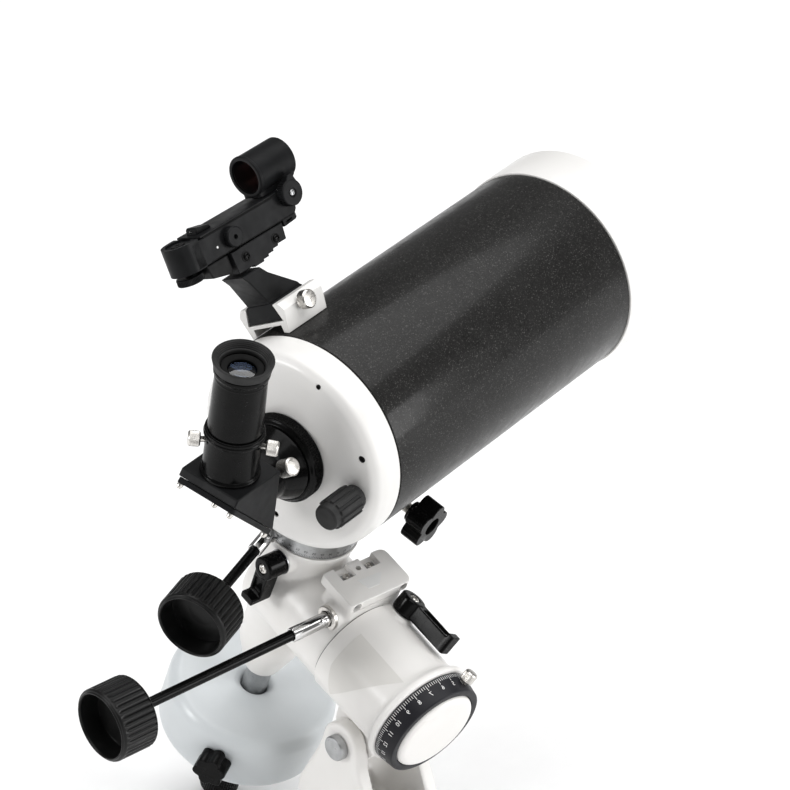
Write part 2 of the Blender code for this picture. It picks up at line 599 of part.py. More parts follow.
def main():
    clear_scene()
    paints = {
        "tube_paint": material("tube_paint", (0.040, 0.039, 0.038), 0.28, 0.3),
        "white_paint": material("white_paint", (0.80, 0.79, 0.77), 0.4),
        "mount_paint": material("mount_paint", (0.80, 0.79, 0.77), 0.42),
        "weight_paint": material("weight_paint", (0.62, 0.65, 0.67), 0.4),
        "black_plastic": material("black_plastic", (0.02, 0.02, 0.02), 0.45),
        "gloss_black": material("gloss_black", (0.012, 0.012, 0.013), 0.2),
        "black_rubber": material("black_rubber", (0.018, 0.018, 0.018), 0.7),
        "flat_black": material("flat_black", (0.01, 0.01, 0.01), 0.9),
        "dark_anodised": material("dark_anodised", (0.045, 0.047, 0.05), 0.5),
        "dial_black": material("dial_black", (0.02, 0.02, 0.03), 0.4),
        "bare_metal": material("bare_metal", (0.70, 0.68, 0.65), 0.3, 1.0),
        "mirror": material("mirror", (0.9, 0.9, 0.9), 0.02, 1.0),
        "coated_glass": material("coated_glass", (0.35, 0.45, 0.55), 0.03),
        "clear_glass": material("clear_glass", (0.7, 0.75, 0.75), 0.03),
    }
    level = empty("pivot_frame", None, (0, 0, PIVOT_HEIGHT))
    polar_tilt = Matrix.Rotation(LATITUDE, 3, "X")
    crossing = Vector((0, 0, PIVOT_HEIGHT)) - polar_tilt @ Vector(PIVOT)
    head = empty("head_frame", None, crossing, (LATITUDE, 0, 0))
    declination = empty("declination_frame", head, (0, 0, 0), (0, 0, -DECLINATION_TURN))
    tube = empty("tube_frame", declination, (0, 0, TUBE_HEIGHT))
    diagonal = empty("diagonal_frame", tube, (0, DIAGONAL_DEPTH, 0), (0, DIAGONAL_TURN, 0))
    shoe = empty("shoe_frame", tube, (0, 0, 0), (0, SHOE_TURN, 0))
    finder = empty("finder_frame", tube, (0, 5, 0),
                   (Matrix.Rotation(FINDER_TURN, 3, "Y") @ Matrix.Rotation(-FINDER_YAW, 3, "Z")).to_euler())
    build_tube(tube, paints)
    build_diagonal(diagonal, paints)
    build_finder(finder, shoe, paints)
    build_declination(declination, paints)
    build_head(head, paints)
    build_polar_housing(head, paints)
    build_base(None, level, paints)


main()
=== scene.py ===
"""The looks of a Maksutov telescope on its equatorial mount head.

Shapes are written in millimetres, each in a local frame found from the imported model's joints, and
become metres when a piece is made. In every frame the local axes say what they mean for that part.
"""

import json
import math

import bmesh
import bpy
from mathutils import Matrix, Vector

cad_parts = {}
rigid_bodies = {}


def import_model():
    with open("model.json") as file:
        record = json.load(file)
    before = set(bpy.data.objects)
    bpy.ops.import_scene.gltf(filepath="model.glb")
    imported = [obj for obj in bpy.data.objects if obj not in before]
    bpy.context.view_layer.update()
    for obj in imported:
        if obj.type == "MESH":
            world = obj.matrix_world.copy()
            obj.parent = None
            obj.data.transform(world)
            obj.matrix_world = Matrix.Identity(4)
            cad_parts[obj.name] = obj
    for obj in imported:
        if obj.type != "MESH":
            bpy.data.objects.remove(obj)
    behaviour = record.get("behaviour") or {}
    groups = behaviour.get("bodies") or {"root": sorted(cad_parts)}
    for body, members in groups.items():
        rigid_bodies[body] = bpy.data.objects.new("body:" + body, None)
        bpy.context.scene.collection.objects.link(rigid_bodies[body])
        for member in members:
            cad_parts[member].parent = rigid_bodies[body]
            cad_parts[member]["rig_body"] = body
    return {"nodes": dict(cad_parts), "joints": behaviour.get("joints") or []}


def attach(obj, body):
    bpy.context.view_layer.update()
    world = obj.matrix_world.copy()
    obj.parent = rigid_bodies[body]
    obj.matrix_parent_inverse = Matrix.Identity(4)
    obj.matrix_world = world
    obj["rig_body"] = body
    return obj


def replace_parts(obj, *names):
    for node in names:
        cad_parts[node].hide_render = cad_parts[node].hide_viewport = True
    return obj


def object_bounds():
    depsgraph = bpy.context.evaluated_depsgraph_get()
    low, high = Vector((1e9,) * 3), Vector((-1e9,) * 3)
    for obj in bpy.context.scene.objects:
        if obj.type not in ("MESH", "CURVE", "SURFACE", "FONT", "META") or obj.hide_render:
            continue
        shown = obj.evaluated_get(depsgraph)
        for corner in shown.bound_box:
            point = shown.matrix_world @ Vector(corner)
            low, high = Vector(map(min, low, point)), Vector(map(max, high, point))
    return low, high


MM = 0.001
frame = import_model()
packed_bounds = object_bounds()
joints = {joint["name"]: joint for joint in frame["joints"]}


# ---------------------------------------------------------------- local frames

def axis_of(joint):
    return Vector(joints[joint]["axis"]).normalized()


def place_of(joint):
    return Vector(joints[joint]["pos_m"])


def local_frame(origin, y_axis, z_axis):
    """A rigid frame with the given origin; X completes it."""
    x_axis = y_axis.cross(z_axis).normalized()
    turn = Matrix((x_axis, y_axis, z_axis)).transposed()
    return Matrix.Translation(origin) @ turn.to_4x4()


def move(base, x=0.0, y=0.0, z=0.0):
    """A frame moved by millimetres along its own axes."""
    return base @ Matrix.Translation(Vector((x, y, z)) * MM)


def turn(base, degrees, axis):
    return base @ Matrix.Rotation(math.radians(degrees), 4, axis)


def aim(base, place, direction):
    """A frame at a local place in millimetres, whose Z looks along a local direction."""
    looking = Vector(direction).to_track_quat("Z", "Y").to_matrix().to_4x4()
    return move(base, *place) @ looking


def joint_frame(joint):
    """A frame at a joint, whose Z is the joint's axis."""
    return Matrix.Translation(place_of(joint)) @ axis_of(joint).to_track_quat("Z", "Y").to_matrix().to_4x4()


def joint_turned(joint, up):
    """A frame at a joint, with Z along its axis and Y along a direction of the head frame."""
    return local_frame(place_of(joint), (HEAD.to_3x3() @ Vector(up)).normalized(), axis_of(joint))


POLE = axis_of("ra_axis")
UP = axis_of("declination_axis")
CROSSING = place_of("ra_axis")
FORWARD = axis_of("focus_turn")

WORLD = Matrix.Identity(4)
# Head: X east, Y along the polar axis, Z along the declination axis, from where the two cross.
HEAD = local_frame(CROSSING, POLE, UP)
# Cradle: the same origin and Z, turned so that Y runs along the tube.
CRADLE = local_frame(CROSSING, FORWARD, UP)
# Tube: Y forward along the optical axis, from the point above the crossing.
on_axis = place_of("diagonal_turn")
TUBE = local_frame(on_axis - FORWARD * (on_axis - CROSSING).dot(FORWARD), FORWARD, UP)
# Optical: the same origin with Z forward, because turned pieces are drawn about Z.
OPTICAL = turn(TUBE, -90, "X")
# Diagonal: Z along the eyepiece, Y forward, from where the light path folds.
eye_axis = axis_of("eyepiece_slide")
DIAGONAL = local_frame(place_of("holder_screw_1_turn") - 46 * MM * eye_axis, FORWARD, eye_axis)
# Finder: Z away from the optical axis, X the axis it pitches about.
finder_up = axis_of("finder_yaw")
finder_ahead = finder_up.cross(axis_of("finder_pitch"))
FINDER = move(local_frame(place_of("finder_yaw"), finder_ahead, finder_up), 0, 50, -120)
# Shoe: X along its thumbscrew, Y forward, Z away from the optical axis.
shoe_up = axis_of("shoe_screw_turn").cross(FORWARD)
SHOE = local_frame(TUBE.translation, FORWARD, shoe_up)
# Pivot: level, on the latitude pin.
PIVOT = Matrix.Translation(place_of("latitude_tilt"))


# ---------------------------------------------------------------- mesh building

def mesh_piece(name, bm, where, paint, smooth=40):
    """Turns a bmesh in millimetres into an object in a local frame, in one of the paints."""
    bmesh.ops.scale(bm, vec=(MM, MM, MM), verts=bm.verts)
    bmesh.ops.recalc_face_normals(bm, faces=bm.faces)
    mesh = bpy.data.meshes.new(name)
    bm.to_mesh(mesh)
    bm.free()
    mesh.materials.append(paints[paint])
    mesh.shade_smooth()
    mesh.set_sharp_from_angle(angle=math.radians(smooth))
    obj = bpy.data.objects.new(name, mesh)
    bpy.context.scene.collection.objects.link(obj)
    if paint in LINED:
        obj.matrix_world = where
    else:
        mesh.transform(where)
    return obj


def rides_with(obj, node):
    """The piece moves with the body that a node is in."""
    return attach(obj, frame["nodes"][node]["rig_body"])


def stands_for(obj, *nodes):
    """The piece moves with these nodes and is shown instead of them."""
    rides_with(obj, nodes[0])
    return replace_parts(obj, *nodes)


def soften(obj, width=0.5, segments=3, angle=35):
    """Rounds a piece's edges."""
    step = obj.modifiers.new("edges", "BEVEL")
    step.width = width * MM
    step.segments = segments
    step.limit_method = "ANGLE"
    step.angle_limit = math.radians(angle)
    step.miter_outer = "MITER_ARC"
    return obj


def fillet(profile, radius, steps=4, closed=False):
    """Rounds the corners of a list of 2-D points, each as far as its neighbours allow."""
    count = len(profile)
    rounded = []
    for index, corner in enumerate(profile):
        corner = Vector(corner)
        if not closed and index in (0, count - 1):
            rounded.append(tuple(corner))
            continue
        before = Vector(profile[index - 1])
        after = Vector(profile[(index + 1) % count])
        reach = min(radius, (corner - before).length * 0.45, (after - corner).length * 0.45)
        start = corner + (before - corner).normalized() * reach
        end = corner + (after - corner).normalized() * reach
        for step in range(steps + 1):
            t = step / steps
            rounded.append(tuple(start.lerp(corner, t).lerp(corner.lerp(end, t), t)))
    return rounded


def refine(profile, longest):
    """Adds points along a profile, so that no straight piece is longer than this."""
    points = [profile[0]]
    for start, end in zip(profile, profile[1:]):
        pieces = max(1, math.ceil(math.dist(start, end) / longest))
        for step in range(1, pieces + 1):
            t = step / pieces
            points.append((start[0] + (end[0] - start[0]) * t, start[1] + (end[1] - start[1]) * t))
    return points


def turned_mesh(profile, segments=96, wave=None):
    """Turns (radius, height) points about Z. wave(angle, radius, height) may return another radius."""
    bm = bmesh.new()
    rings = []
    for radius, height in profile:
        if radius <= 0:
            rings.append([bm.verts.new((0, 0, height))])
            continue
        ring = []
        for step in range(segments):
            angle = 2 * math.pi * step / segments
            reach = wave(angle, radius, height) if wave else radius
            ring.append(bm.verts.new((reach * math.cos(angle), reach * math.sin(angle), height)))
        rings.append(ring)
    pairs = list(zip(rings, rings[1:]))
    if profile[0][0] > 0 and profile[-1][0] > 0:
        pairs.append((rings[-1], rings[0]))
    for low, high in pairs:
        if len(low) == len(high) == 1:
            continue
        for step in range(segments):
            after = (step + 1) % segments
            corners = [low[step % len(low)], low[after % len(low)], high[after % len(high)],
                       high[step % len(high)]]
            bm.faces.new(list(dict.fromkeys(corners)))
    return bm


def turned(name, profile, where, paint, segments=96, wave=None, smooth=40):
    return mesh_piece(name, turned_mesh(profile, segments, wave), where, paint, smooth)


def prism_mesh(outline, low, high):
    """A straight prism from an outline in X and Y."""
    bm = bmesh.new()
    lower = [bm.verts.new((x, y, low)) for x, y in outline]
    upper = [bm.verts.new((x, y, high)) for x, y in outline]
    bm.faces.new(lower)
    bm.faces.new(upper)
    for step in range(len(outline)):
        after = (step + 1) % len(outline)
        bm.faces.new((lower[step], lower[after], upper[after], upper[step]))
    return bm


def prism(name, outline, low, high, where, paint, smooth=40):
    return mesh_piece(name, prism_mesh(outline, low, high), where, paint, smooth)


def block(name, low, high, where, paint):
    outline = [(low[0], low[1]), (high[0], low[1]), (high[0], high[1]), (low[0], high[1])]
    return prism(name, outline, low[2], high[2], where, paint)


def side_prism(name, outline, low, high, where, paint):
    """A prism whose outline is in Y and Z, across X."""
    across = Matrix(((0, 0, 1, 0), (1, 0, 0, 0), (0, 1, 0, 0), (0, 0, 0, 1)))
    return prism(name, outline, low, high, where @ across, paint)


def end_prism(name, outline, low, high, where, paint):
    """A prism whose outline is in X and Z, along Y."""
    return prism(name, outline, -high, -low, turn(where, 90, "X"), paint)


def rod(name, radius, low, high, where, paint, segments=48):
    return turned(name, [(0, low), (radius, low), (radius, high), (0, high)], where, paint, segments)


def hole(radius, low, high, where, segments=48):
    """A round cutter along Z. The piece that it cuts keeps its own paint."""
    return rod("hole", radius, low, high, where, "optical", segments)


def gap(low, high, where):
    """A square cutter between two corners."""
    return block("gap", low, high, where, "optical")


def circle(radius, count=48, x=0.0, y=0.0):
    steps = [2 * math.pi * step / count for step in range(count)]
    return [(x + radius * math.cos(a), y + radius * math.sin(a)) for a in steps]


def rounded_box(width, depth, corner, x=0.0, y=0.0):
    half_x, half_y = width / 2, depth / 2
    signs = ((1, 1), (-1, 1), (-1, -1), (1, -1))
    corners = [(x + side * half_x, y + end * half_y) for side, end in signs]
    return fillet(corners, corner, 6, closed=True)


def lofted(name, loops, where, paint):
    """A solid through matching loops of 3-D points."""
    bm = bmesh.new()
    rings = [[bm.verts.new(tuple(point)) for point in loop] for loop in loops]
    bm.faces.new(rings[0])
    bm.faces.new(rings[-1])
    for low, high in zip(rings, rings[1:]):
        for step in range(len(low)):
            after = (step + 1) % len(low)
            bm.faces.new((low[step], low[after], high[after], high[step]))
    return mesh_piece(name, bm, where, paint, 30)


def settle(obj, smooth=40):
    """Applies the piece's modifiers."""
    bpy.context.view_layer.update()
    graph = bpy.context.evaluated_depsgraph_get()
    mesh = bpy.data.meshes.new_from_object(obj.evaluated_get(graph))
    obj.modifiers.clear()
    obj.data = mesh
    mesh.shade_smooth()
    mesh.set_sharp_from_angle(angle=math.radians(smooth))
    return obj


def shape_with(obj, operation, *tools):
    """A Boolean with each tool, applied at once; the tools are then removed."""
    for tool in tools:
        step = obj.modifiers.new("shape", "BOOLEAN")
        step.operation = operation
        step.solver = "EXACT"
        step.object = tool
    settle(obj)
    for tool in tools:
        bpy.data.objects.remove(tool)
    return obj


def carve(obj, *tools):
    return shape_with(obj, "DIFFERENCE", *tools)


def weld(obj, *tools):
    return shape_with(obj, "UNION", *tools)


def cast(obj, voxel=0.9, rounds=6):
    """Blends a piece's joins and edges as a casting has them."""
    step = obj.modifiers.new("remesh", "REMESH")
    step.mode = "VOXEL"
    step.voxel_size = voxel * MM
    step.use_smooth_shade = True
    ease = obj.modifiers.new("ease", "SMOOTH")
    ease.iterations = rounds
    ease.factor = 0.5
    return settle(obj, 80)


def ribs(count, depth, low=-1e9, high=1e9, sharpness=1.0, inside=0.0):
    """A wave for turned pieces: grooves between two heights and outside a radius. They are narrower where the
    sharpness is lower."""
    def wave(angle, radius, height):
        if not low <= height <= high or radius < inside:
            return radius
        hump = 0.5 + 0.5 * math.cos(count * angle)
        return radius - depth * (1 - hump ** sharpness)
    return wave


def bars(count, rise, low, high, share=0.5):
    """A wave for turned pieces: raised bars with steep sides between two heights."""
    def wave(angle, radius, height):
        if not low <= height <= high:
            return radius
        from_bar = abs((angle * count / (2 * math.pi)) % 1 - 0.5) * 2
        return radius + rise * min(1, max(0, (share - from_bar) / 0.12))
    return wave


def star(radius, depth, lobes, count, sharpness=1.0):
    """A closed outline whose radius dips between its lobes."""
    wave = ribs(lobes, depth, sharpness=sharpness)
    steps = [2 * math.pi * step / count for step in range(count)]
    return [(wave(a, radius, 0) * math.cos(a), wave(a, radius, 0) * math.sin(a)) for a in steps]


def phillips(name, radius, where, node, paint, tall=None):
    """A cross-head screw whose seat is at the frame's origin, looking along Z. It moves with a node."""
    tall = tall or radius * 0.55
    dome = [(0, -0.2), (radius, -0.2), (radius, tall * 0.35), (radius * 0.8, tall * 0.8),
            (radius * 0.4, tall), (0, tall)]
    head = turned(name, fillet(dome, radius * 0.25), where, paint, 32)
    slot = radius * 0.17
    reach = radius * 0.62
    cross = [gap((-reach, -slot, tall * 0.4), (reach, slot, tall * 2), where),
             gap((-slot, -reach, tall * 0.4), (slot, reach, tall * 2), where)]
    return rides_with(carve(head, *cross), node)


def thumbscrew(name, node, where, tip, low, high, radius):
    """A nickel thumbscrew along Z: its plain rod, then a finely knurled head with a plain face."""
    head = [(0, tip), (1.9, tip), (1.9, low), (radius - 1.0, low), (radius, low + 0.9),
            (radius, high - 1.0), (radius - 0.9, high), (0, high)]
    knurl = ribs(44, 0.22, low + 1.0, high - 1.1, 0.6)
    return stands_for(turned(name, fillet(head, 0.25, 2), where, "nickel", 176, knurl, 30), node)


# ---------------------------------------------------------------- materials

class Finish:
    """A Principled material being built: helpers that add its patterns."""

    def __init__(self, name, roughness=0.4, metallic=0.0, coat=0.0, coat_roughness=0.08, specular=0.5):
        self.material = bpy.data.materials.new(name)
        self.material.use_nodes = True
        self.tree = self.material.node_tree
        self.shader = self.tree.nodes["Principled BSDF"]
        self.shader.inputs["Roughness"].default_value = roughness
        self.shader.inputs["Metallic"].default_value = metallic
        self.shader.inputs["Specular IOR Level"].default_value = specular
        self.shader.inputs["Coat Weight"].default_value = coat
        self.shader.inputs["Coat Roughness"].default_value = coat_roughness
        self.place = self.tree.nodes.new("ShaderNodeTexCoord").outputs["Object"]
        self.bumped = None

    def node(self, kind, **inputs):
        made = self.tree.nodes.new(kind)
        for name, value in inputs.items():
            socket = made.inputs[name.replace("_", " ")]
            if isinstance(value, bpy.types.NodeSocket):
                self.tree.links.new(value, socket)
            else:
                socket.default_value = value
        return made

    def noise(self, size, detail=2.0, stretch=(1, 1, 1)):
        """A noise whose features measure about size millimetres."""
        scaled = self.node("ShaderNodeMapping", Vector=self.place, Scale=stretch)
        pattern = self.node("ShaderNodeTexNoise", Vector=scaled.outputs[0], Scale=1 / (size * MM),
                            Detail=detail)
        return pattern.outputs["Fac"]

    def cells(self, size):
        """A random value for each cell of about size millimetres."""
        pattern = self.node("ShaderNodeTexVoronoi", Vector=self.place, Scale=1 / (size * MM))
        return self.node("ShaderNodeSeparateColor", Color=pattern.outputs["Color"]).outputs[0]

    def remap(self, value, low, high, from_low=0.3, from_high=0.7):
        made = self.tree.nodes.new("ShaderNodeMapRange")
        limits = {"From Min": from_low, "From Max": from_high, "To Min": low, "To Max": high}
        for name, number in limits.items():
            made.inputs[name].default_value = number
        self.tree.links.new(value, made.inputs["Value"])
        return made.outputs[0]

    def mix(self, factor, first, second):
        made = self.tree.nodes.new("ShaderNodeMix")
        made.data_type = "RGBA"
        self.tree.links.new(factor, made.inputs["Factor"])
        for socket, colour in ((made.inputs["A"], first), (made.inputs["B"], second)):
            if isinstance(colour, bpy.types.NodeSocket):
                self.tree.links.new(colour, socket)
            else:
                socket.default_value = (*colour, 1)
        return made.outputs["Result"]

    def colour(self, source):
        self.tree.links.new(source, self.shader.inputs["Base Color"])
        return self

    def rough(self, low, high, size, detail=3.0, stretch=(1, 1, 1)):
        """Roughness that wanders between two values."""
        self.tree.links.new(self.remap(self.noise(size, detail, stretch), low, high),
                            self.shader.inputs["Roughness"])
        return self

    def bump(self, height, depth, strength=1.0):
        """Relief, depth in millimetres, over any relief added before."""
        made = self.node("ShaderNodeBump", Height=height, Distance=depth * MM, Strength=strength)
        if self.bumped:
            self.tree.links.new(self.bumped, made.inputs["Normal"])
        self.bumped = made.outputs[0]
        self.tree.links.new(self.bumped, self.shader.inputs["Normal"])
        return self

    def worn(self, base, edge, reach=0.6, amount=0.5, from_low=0.88, from_high=0.995):
        """Base colour, turning to the edge colour where the surface turns sharply."""
        bevel = self.node("ShaderNodeBevel", Radius=reach * MM)
        bevel.samples = 4
        flat = self.tree.nodes.new("ShaderNodeNewGeometry").outputs["Normal"]
        align = self.tree.nodes.new("ShaderNodeVectorMath")
        align.operation = "DOT_PRODUCT"
        self.tree.links.new(bevel.outputs[0], align.inputs[0])
        self.tree.links.new(flat, align.inputs[1])
        bare = self.remap(align.outputs["Value"], amount, 0.0, from_low, from_high)
        return self.mix(bare, base, edge)


def enamel(name, light, dark, roughness, peel_size, peel_depth, edge):
    """Sprayed enamel: slight mottle, orange peel and softly worn edges."""
    made = Finish(name, roughness, coat=0.12, coat_roughness=0.2)
    mottle = made.mix(made.remap(made.noise(35, 3), 0, 1), light, dark)
    made.colour(made.worn(mottle, edge, 0.5, 0.45))
    made.rough(roughness - 0.06, roughness + 0.08, 14)
    made.bump(made.noise(peel_size, 2), peel_depth)
    return made.material


def moulded(name, light, dark, roughness, grain_size, grain_depth, edge, coat=0.0, specular=0.15):
    """Moulded or coated black: fine grain, uneven sheen and lighter rubbed edges."""
    made = Finish(name, roughness, coat=coat, coat_roughness=0.12, specular=specular)
    mottle = made.mix(made.remap(made.noise(9, 4), 0, 1), light, dark)
    made.colour(made.worn(mottle, edge, 0.3, 0.3, 0.78, 0.93))
    made.rough(roughness - 0.05, roughness + 0.07, 7, 3)
    made.bump(made.noise(grain_size, 3), grain_depth)
    return made.material


def machined(name, light, dark, roughness, stretch, line_size=0.5):
    """Bare metal with fine tool lines, which run across the stretched axis."""
    made = Finish(name, roughness, metallic=1.0)
    made.colour(made.mix(made.remap(made.noise(6, 4), 0, 1), light, dark))
    made.rough(roughness - 0.08, roughness + 0.12, line_size, 3, stretch)
    made.bump(made.noise(line_size, 2, stretch), 0.012)
    return made.material


def flake_paint():
    """Charcoal metallic under clear lacquer: two sizes of bright flake in the dark base."""
    made = Finish("tube_paint", 0.34, 0.05, coat=0.14, coat_roughness=0.12, specular=0.08)
    base = made.mix(made.remap(made.noise(22, 3), 0, 1), (0.011, 0.0107, 0.0104), (0.015, 0.0146, 0.0142))
    coarse = made.remap(made.cells(0.6), 0, 0.8, 0.90, 1.0)
    fine = made.remap(made.cells(0.35), 0, 0.6, 0.8, 1.0)
    flaked = made.mix(coarse, base, (0.085, 0.083, 0.08))
    made.colour(made.mix(fine, flaked, (0.05, 0.049, 0.047)))
    made.rough(0.26, 0.38, 8)
    made.bump(made.cells(0.4), 0.01, 0.35)
    return made.material


def glass(name, tint, coat):
    """Coated glass with a little dust."""
    roughness = 0.02
    made = Finish(name, roughness, coat=coat, coat_roughness=0.02)
    made.shader.inputs["Transmission Weight"].default_value = 1.0
    made.shader.inputs["IOR"].default_value = 1.5
    dust = made.remap(made.noise(12, 6), 0, 0.35, 0.55, 0.9)
    made.colour(made.mix(dust, tint, tuple(c * 0.9 for c in tint)))
    made.rough(roughness, roughness + 0.03, 9)
    return made.material


def build_finishes():
    """Every paint, by the short name that the pieces use."""
    turned_lines = (0.15, 0.15, 6)
    return {
        "tube": flake_paint(),
        "white": enamel("white_enamel", (0.755, 0.745, 0.73), (0.73, 0.72, 0.70), 0.34, 1.1, 0.012,
                        (0.80, 0.79, 0.77)),
        "casting": enamel("casting_enamel", (0.81, 0.795, 0.775), (0.78, 0.765, 0.74), 0.36, 1.6, 0.03,
                          (0.74, 0.73, 0.71)),
        "facet": enamel("facet_enamel", (0.70, 0.685, 0.655), (0.675, 0.66, 0.63), 0.5, 1.2, 0.03,
                        (0.8, 0.79, 0.77)),
        "weight": enamel("weight_enamel", (0.60, 0.63, 0.645), (0.565, 0.595, 0.61), 0.36, 2.2, 0.05,
                         (0.66, 0.69, 0.70)),
        "gloss": moulded("gloss_black", (0.002, 0.002, 0.002), (0.004, 0.004, 0.004), 0.24, 0.5, 0.004,
                         (0.02, 0.02, 0.02), 0.1, 0.05),
        "knob": moulded("knob_black", (0.004, 0.004, 0.004), (0.007, 0.007, 0.007), 0.34, 0.35, 0.012,
                        (0.03, 0.03, 0.031), 0.08, 0.15),
        "matte": moulded("matte_black", (0.005, 0.005, 0.005), (0.008, 0.008, 0.008), 0.5, 0.3, 0.02,
                         (0.04, 0.04, 0.041)),
        "satin": moulded("dark_satin", (0.006, 0.0062, 0.0066), (0.009, 0.0093, 0.010), 0.4, 0.25, 0.014,
                         (0.05, 0.051, 0.054), 0, 0.1),
        "rubber": moulded("black_rubber", (0.010, 0.010, 0.010), (0.014, 0.014, 0.014), 0.6, 0.4, 0.02,
                          (0.03, 0.03, 0.03), 0, 0.3),
        "optical": moulded("optical_black", (0.006, 0.006, 0.006), (0.008, 0.008, 0.008), 0.85, 0.3, 0.02,
                           (0.01, 0.01, 0.01)),
        "dial": moulded("dial_black", (0.013, 0.013, 0.016), (0.017, 0.017, 0.020), 0.38, 0.3, 0.008,
                        (0.05, 0.05, 0.055)),
        "nickel": machined("satin_nickel", (0.66, 0.64, 0.61), (0.58, 0.56, 0.53), 0.27, turned_lines),
        "aluminium": machined("turned_aluminium", (0.80, 0.79, 0.77), (0.70, 0.69, 0.67), 0.28,
                              turned_lines, 0.8),
        "steel": machined("ground_steel", (0.44, 0.445, 0.45), (0.36, 0.365, 0.37), 0.33, turned_lines, 0.9),
        "chrome": machined("plated_steel", (0.66, 0.655, 0.65), (0.60, 0.595, 0.59), 0.12, (1, 1, 1), 3),
        "mirror": machined("silvered", (0.93, 0.93, 0.94), (0.90, 0.90, 0.91), 0.1, (1, 1, 1), 40),
        "corrector": glass("coated_corrector", (0.93, 0.97, 0.96), 0.4),
        "eye_glass": glass("coated_eye_lens", (0.16, 0.22, 0.36), 0.5),
        "red_glass": glass("dot_window", (0.86, 0.40, 0.36), 0.5),
        "clear": glass("clear_glass", (0.95, 0.97, 0.97), 0.1),
        # White print on the dials and labels; the same white also makes the painted highlight dot on the
        # finder bar.
        "white_ink_and_highlight": enamel("white_ink_and_highlight", (0.80, 0.80, 0.79), (0.74, 0.74, 0.73), 0.5, 0.6, 0.01,
                            (0.8, 0.8, 0.8)),
        "floor": enamel("floor_paper", (0.86, 0.86, 0.86), (0.84, 0.84, 0.84), 0.7, 3.0, 0.01,
                        (0.86, 0.86, 0.86)),
        "dark_ink": moulded("dark_ink", (0.02, 0.02, 0.022), (0.03, 0.03, 0.032), 0.5, 0.4, 0.01,
                            (0.03, 0.03, 0.03)),
    }


# The metals whose tool lines follow the piece's own axes.
LINED = ("nickel", "aluminium", "steel")
paints = build_finishes()


# ---------------------------------------------------------------- optical tube

def build_tube():
    shell = [(70.7, -43.8), (72, -43.8), (72, 209.8), (70.7, 209.8)]
    stands_for(turned("tube_shell", fillet(shell, 0.5, closed=True), OPTICAL, "tube", 192), "main_tube")
    lining = [(70, -43.7), (70.6, -43.7), (70.6, 209.7), (70, 209.7)]
    rides_with(turned("tube_lining", lining, OPTICAL, "optical", 96), "main_tube")

    ring = [(73, 210.2), (73, 249), (70, 250), (66.5, 250), (66.5, 236.5), (65.2, 236.5), (65.2, 222),
            (61.5, 222), (61.5, 218), (67, 218), (67, 204), (69.6, 204), (69.6, 210.2)]
    stands_for(turned("front_ring", fillet(ring, 0.8, closed=True), OPTICAL, "white", 192), "front_cell_ring")

    def bowl(radius, edge, centre):
        """Points of a shallow curved face, from the axis outwards."""
        steps = 12
        return [(radius * s / steps, centre + (edge - centre) * (s / steps) ** 2) for s in range(steps + 1)]

    meniscus = bowl(64.6, 236.0, 224.7) + bowl(64.6, 224.0, 212.7)[::-1]
    stands_for(turned("corrector", meniscus, OPTICAL, "corrector", 128), "corrector_lens")
    spot = [(0, 212.2), (21, 212.2), (19, 190), (17.6, 190), (19.4, 210.6), (0, 210.6)]
    stands_for(turned("spot_baffle", spot, OPTICAL, "optical", 96), "secondary_baffle")
    baffle = [(15, -71.7), (21.4, -71.7), (21.4, -61.8), (18, -61.8), (18, 60), (14.5, 112), (13.5, 112),
              (15, 60)]
    stands_for(turned("light_baffle", baffle, OPTICAL, "optical", 96), "baffle_tube")
    mirror = [(20.8, -40), (63, -40)] + [(r, z) for r, z in bowl(63, -27.0, -30.6)[::-1] if r > 20.8]
    stands_for(turned("mirror_glass", mirror + [(20.8, -30.2)], OPTICAL, "mirror", 128), "primary_mirror")


def build_mirror_carrier():
    carrier = [(18.5, -56), (30, -56), (30, -46.4), (60, -46.4), (60, -41), (20.2, -41), (20.2, -33),
               (18.5, -33)]
    stands_for(turned("mirror_cell", fillet(carrier, 0.6, closed=True), OPTICAL, "aluminium", 96),
               "mirror_carrier")


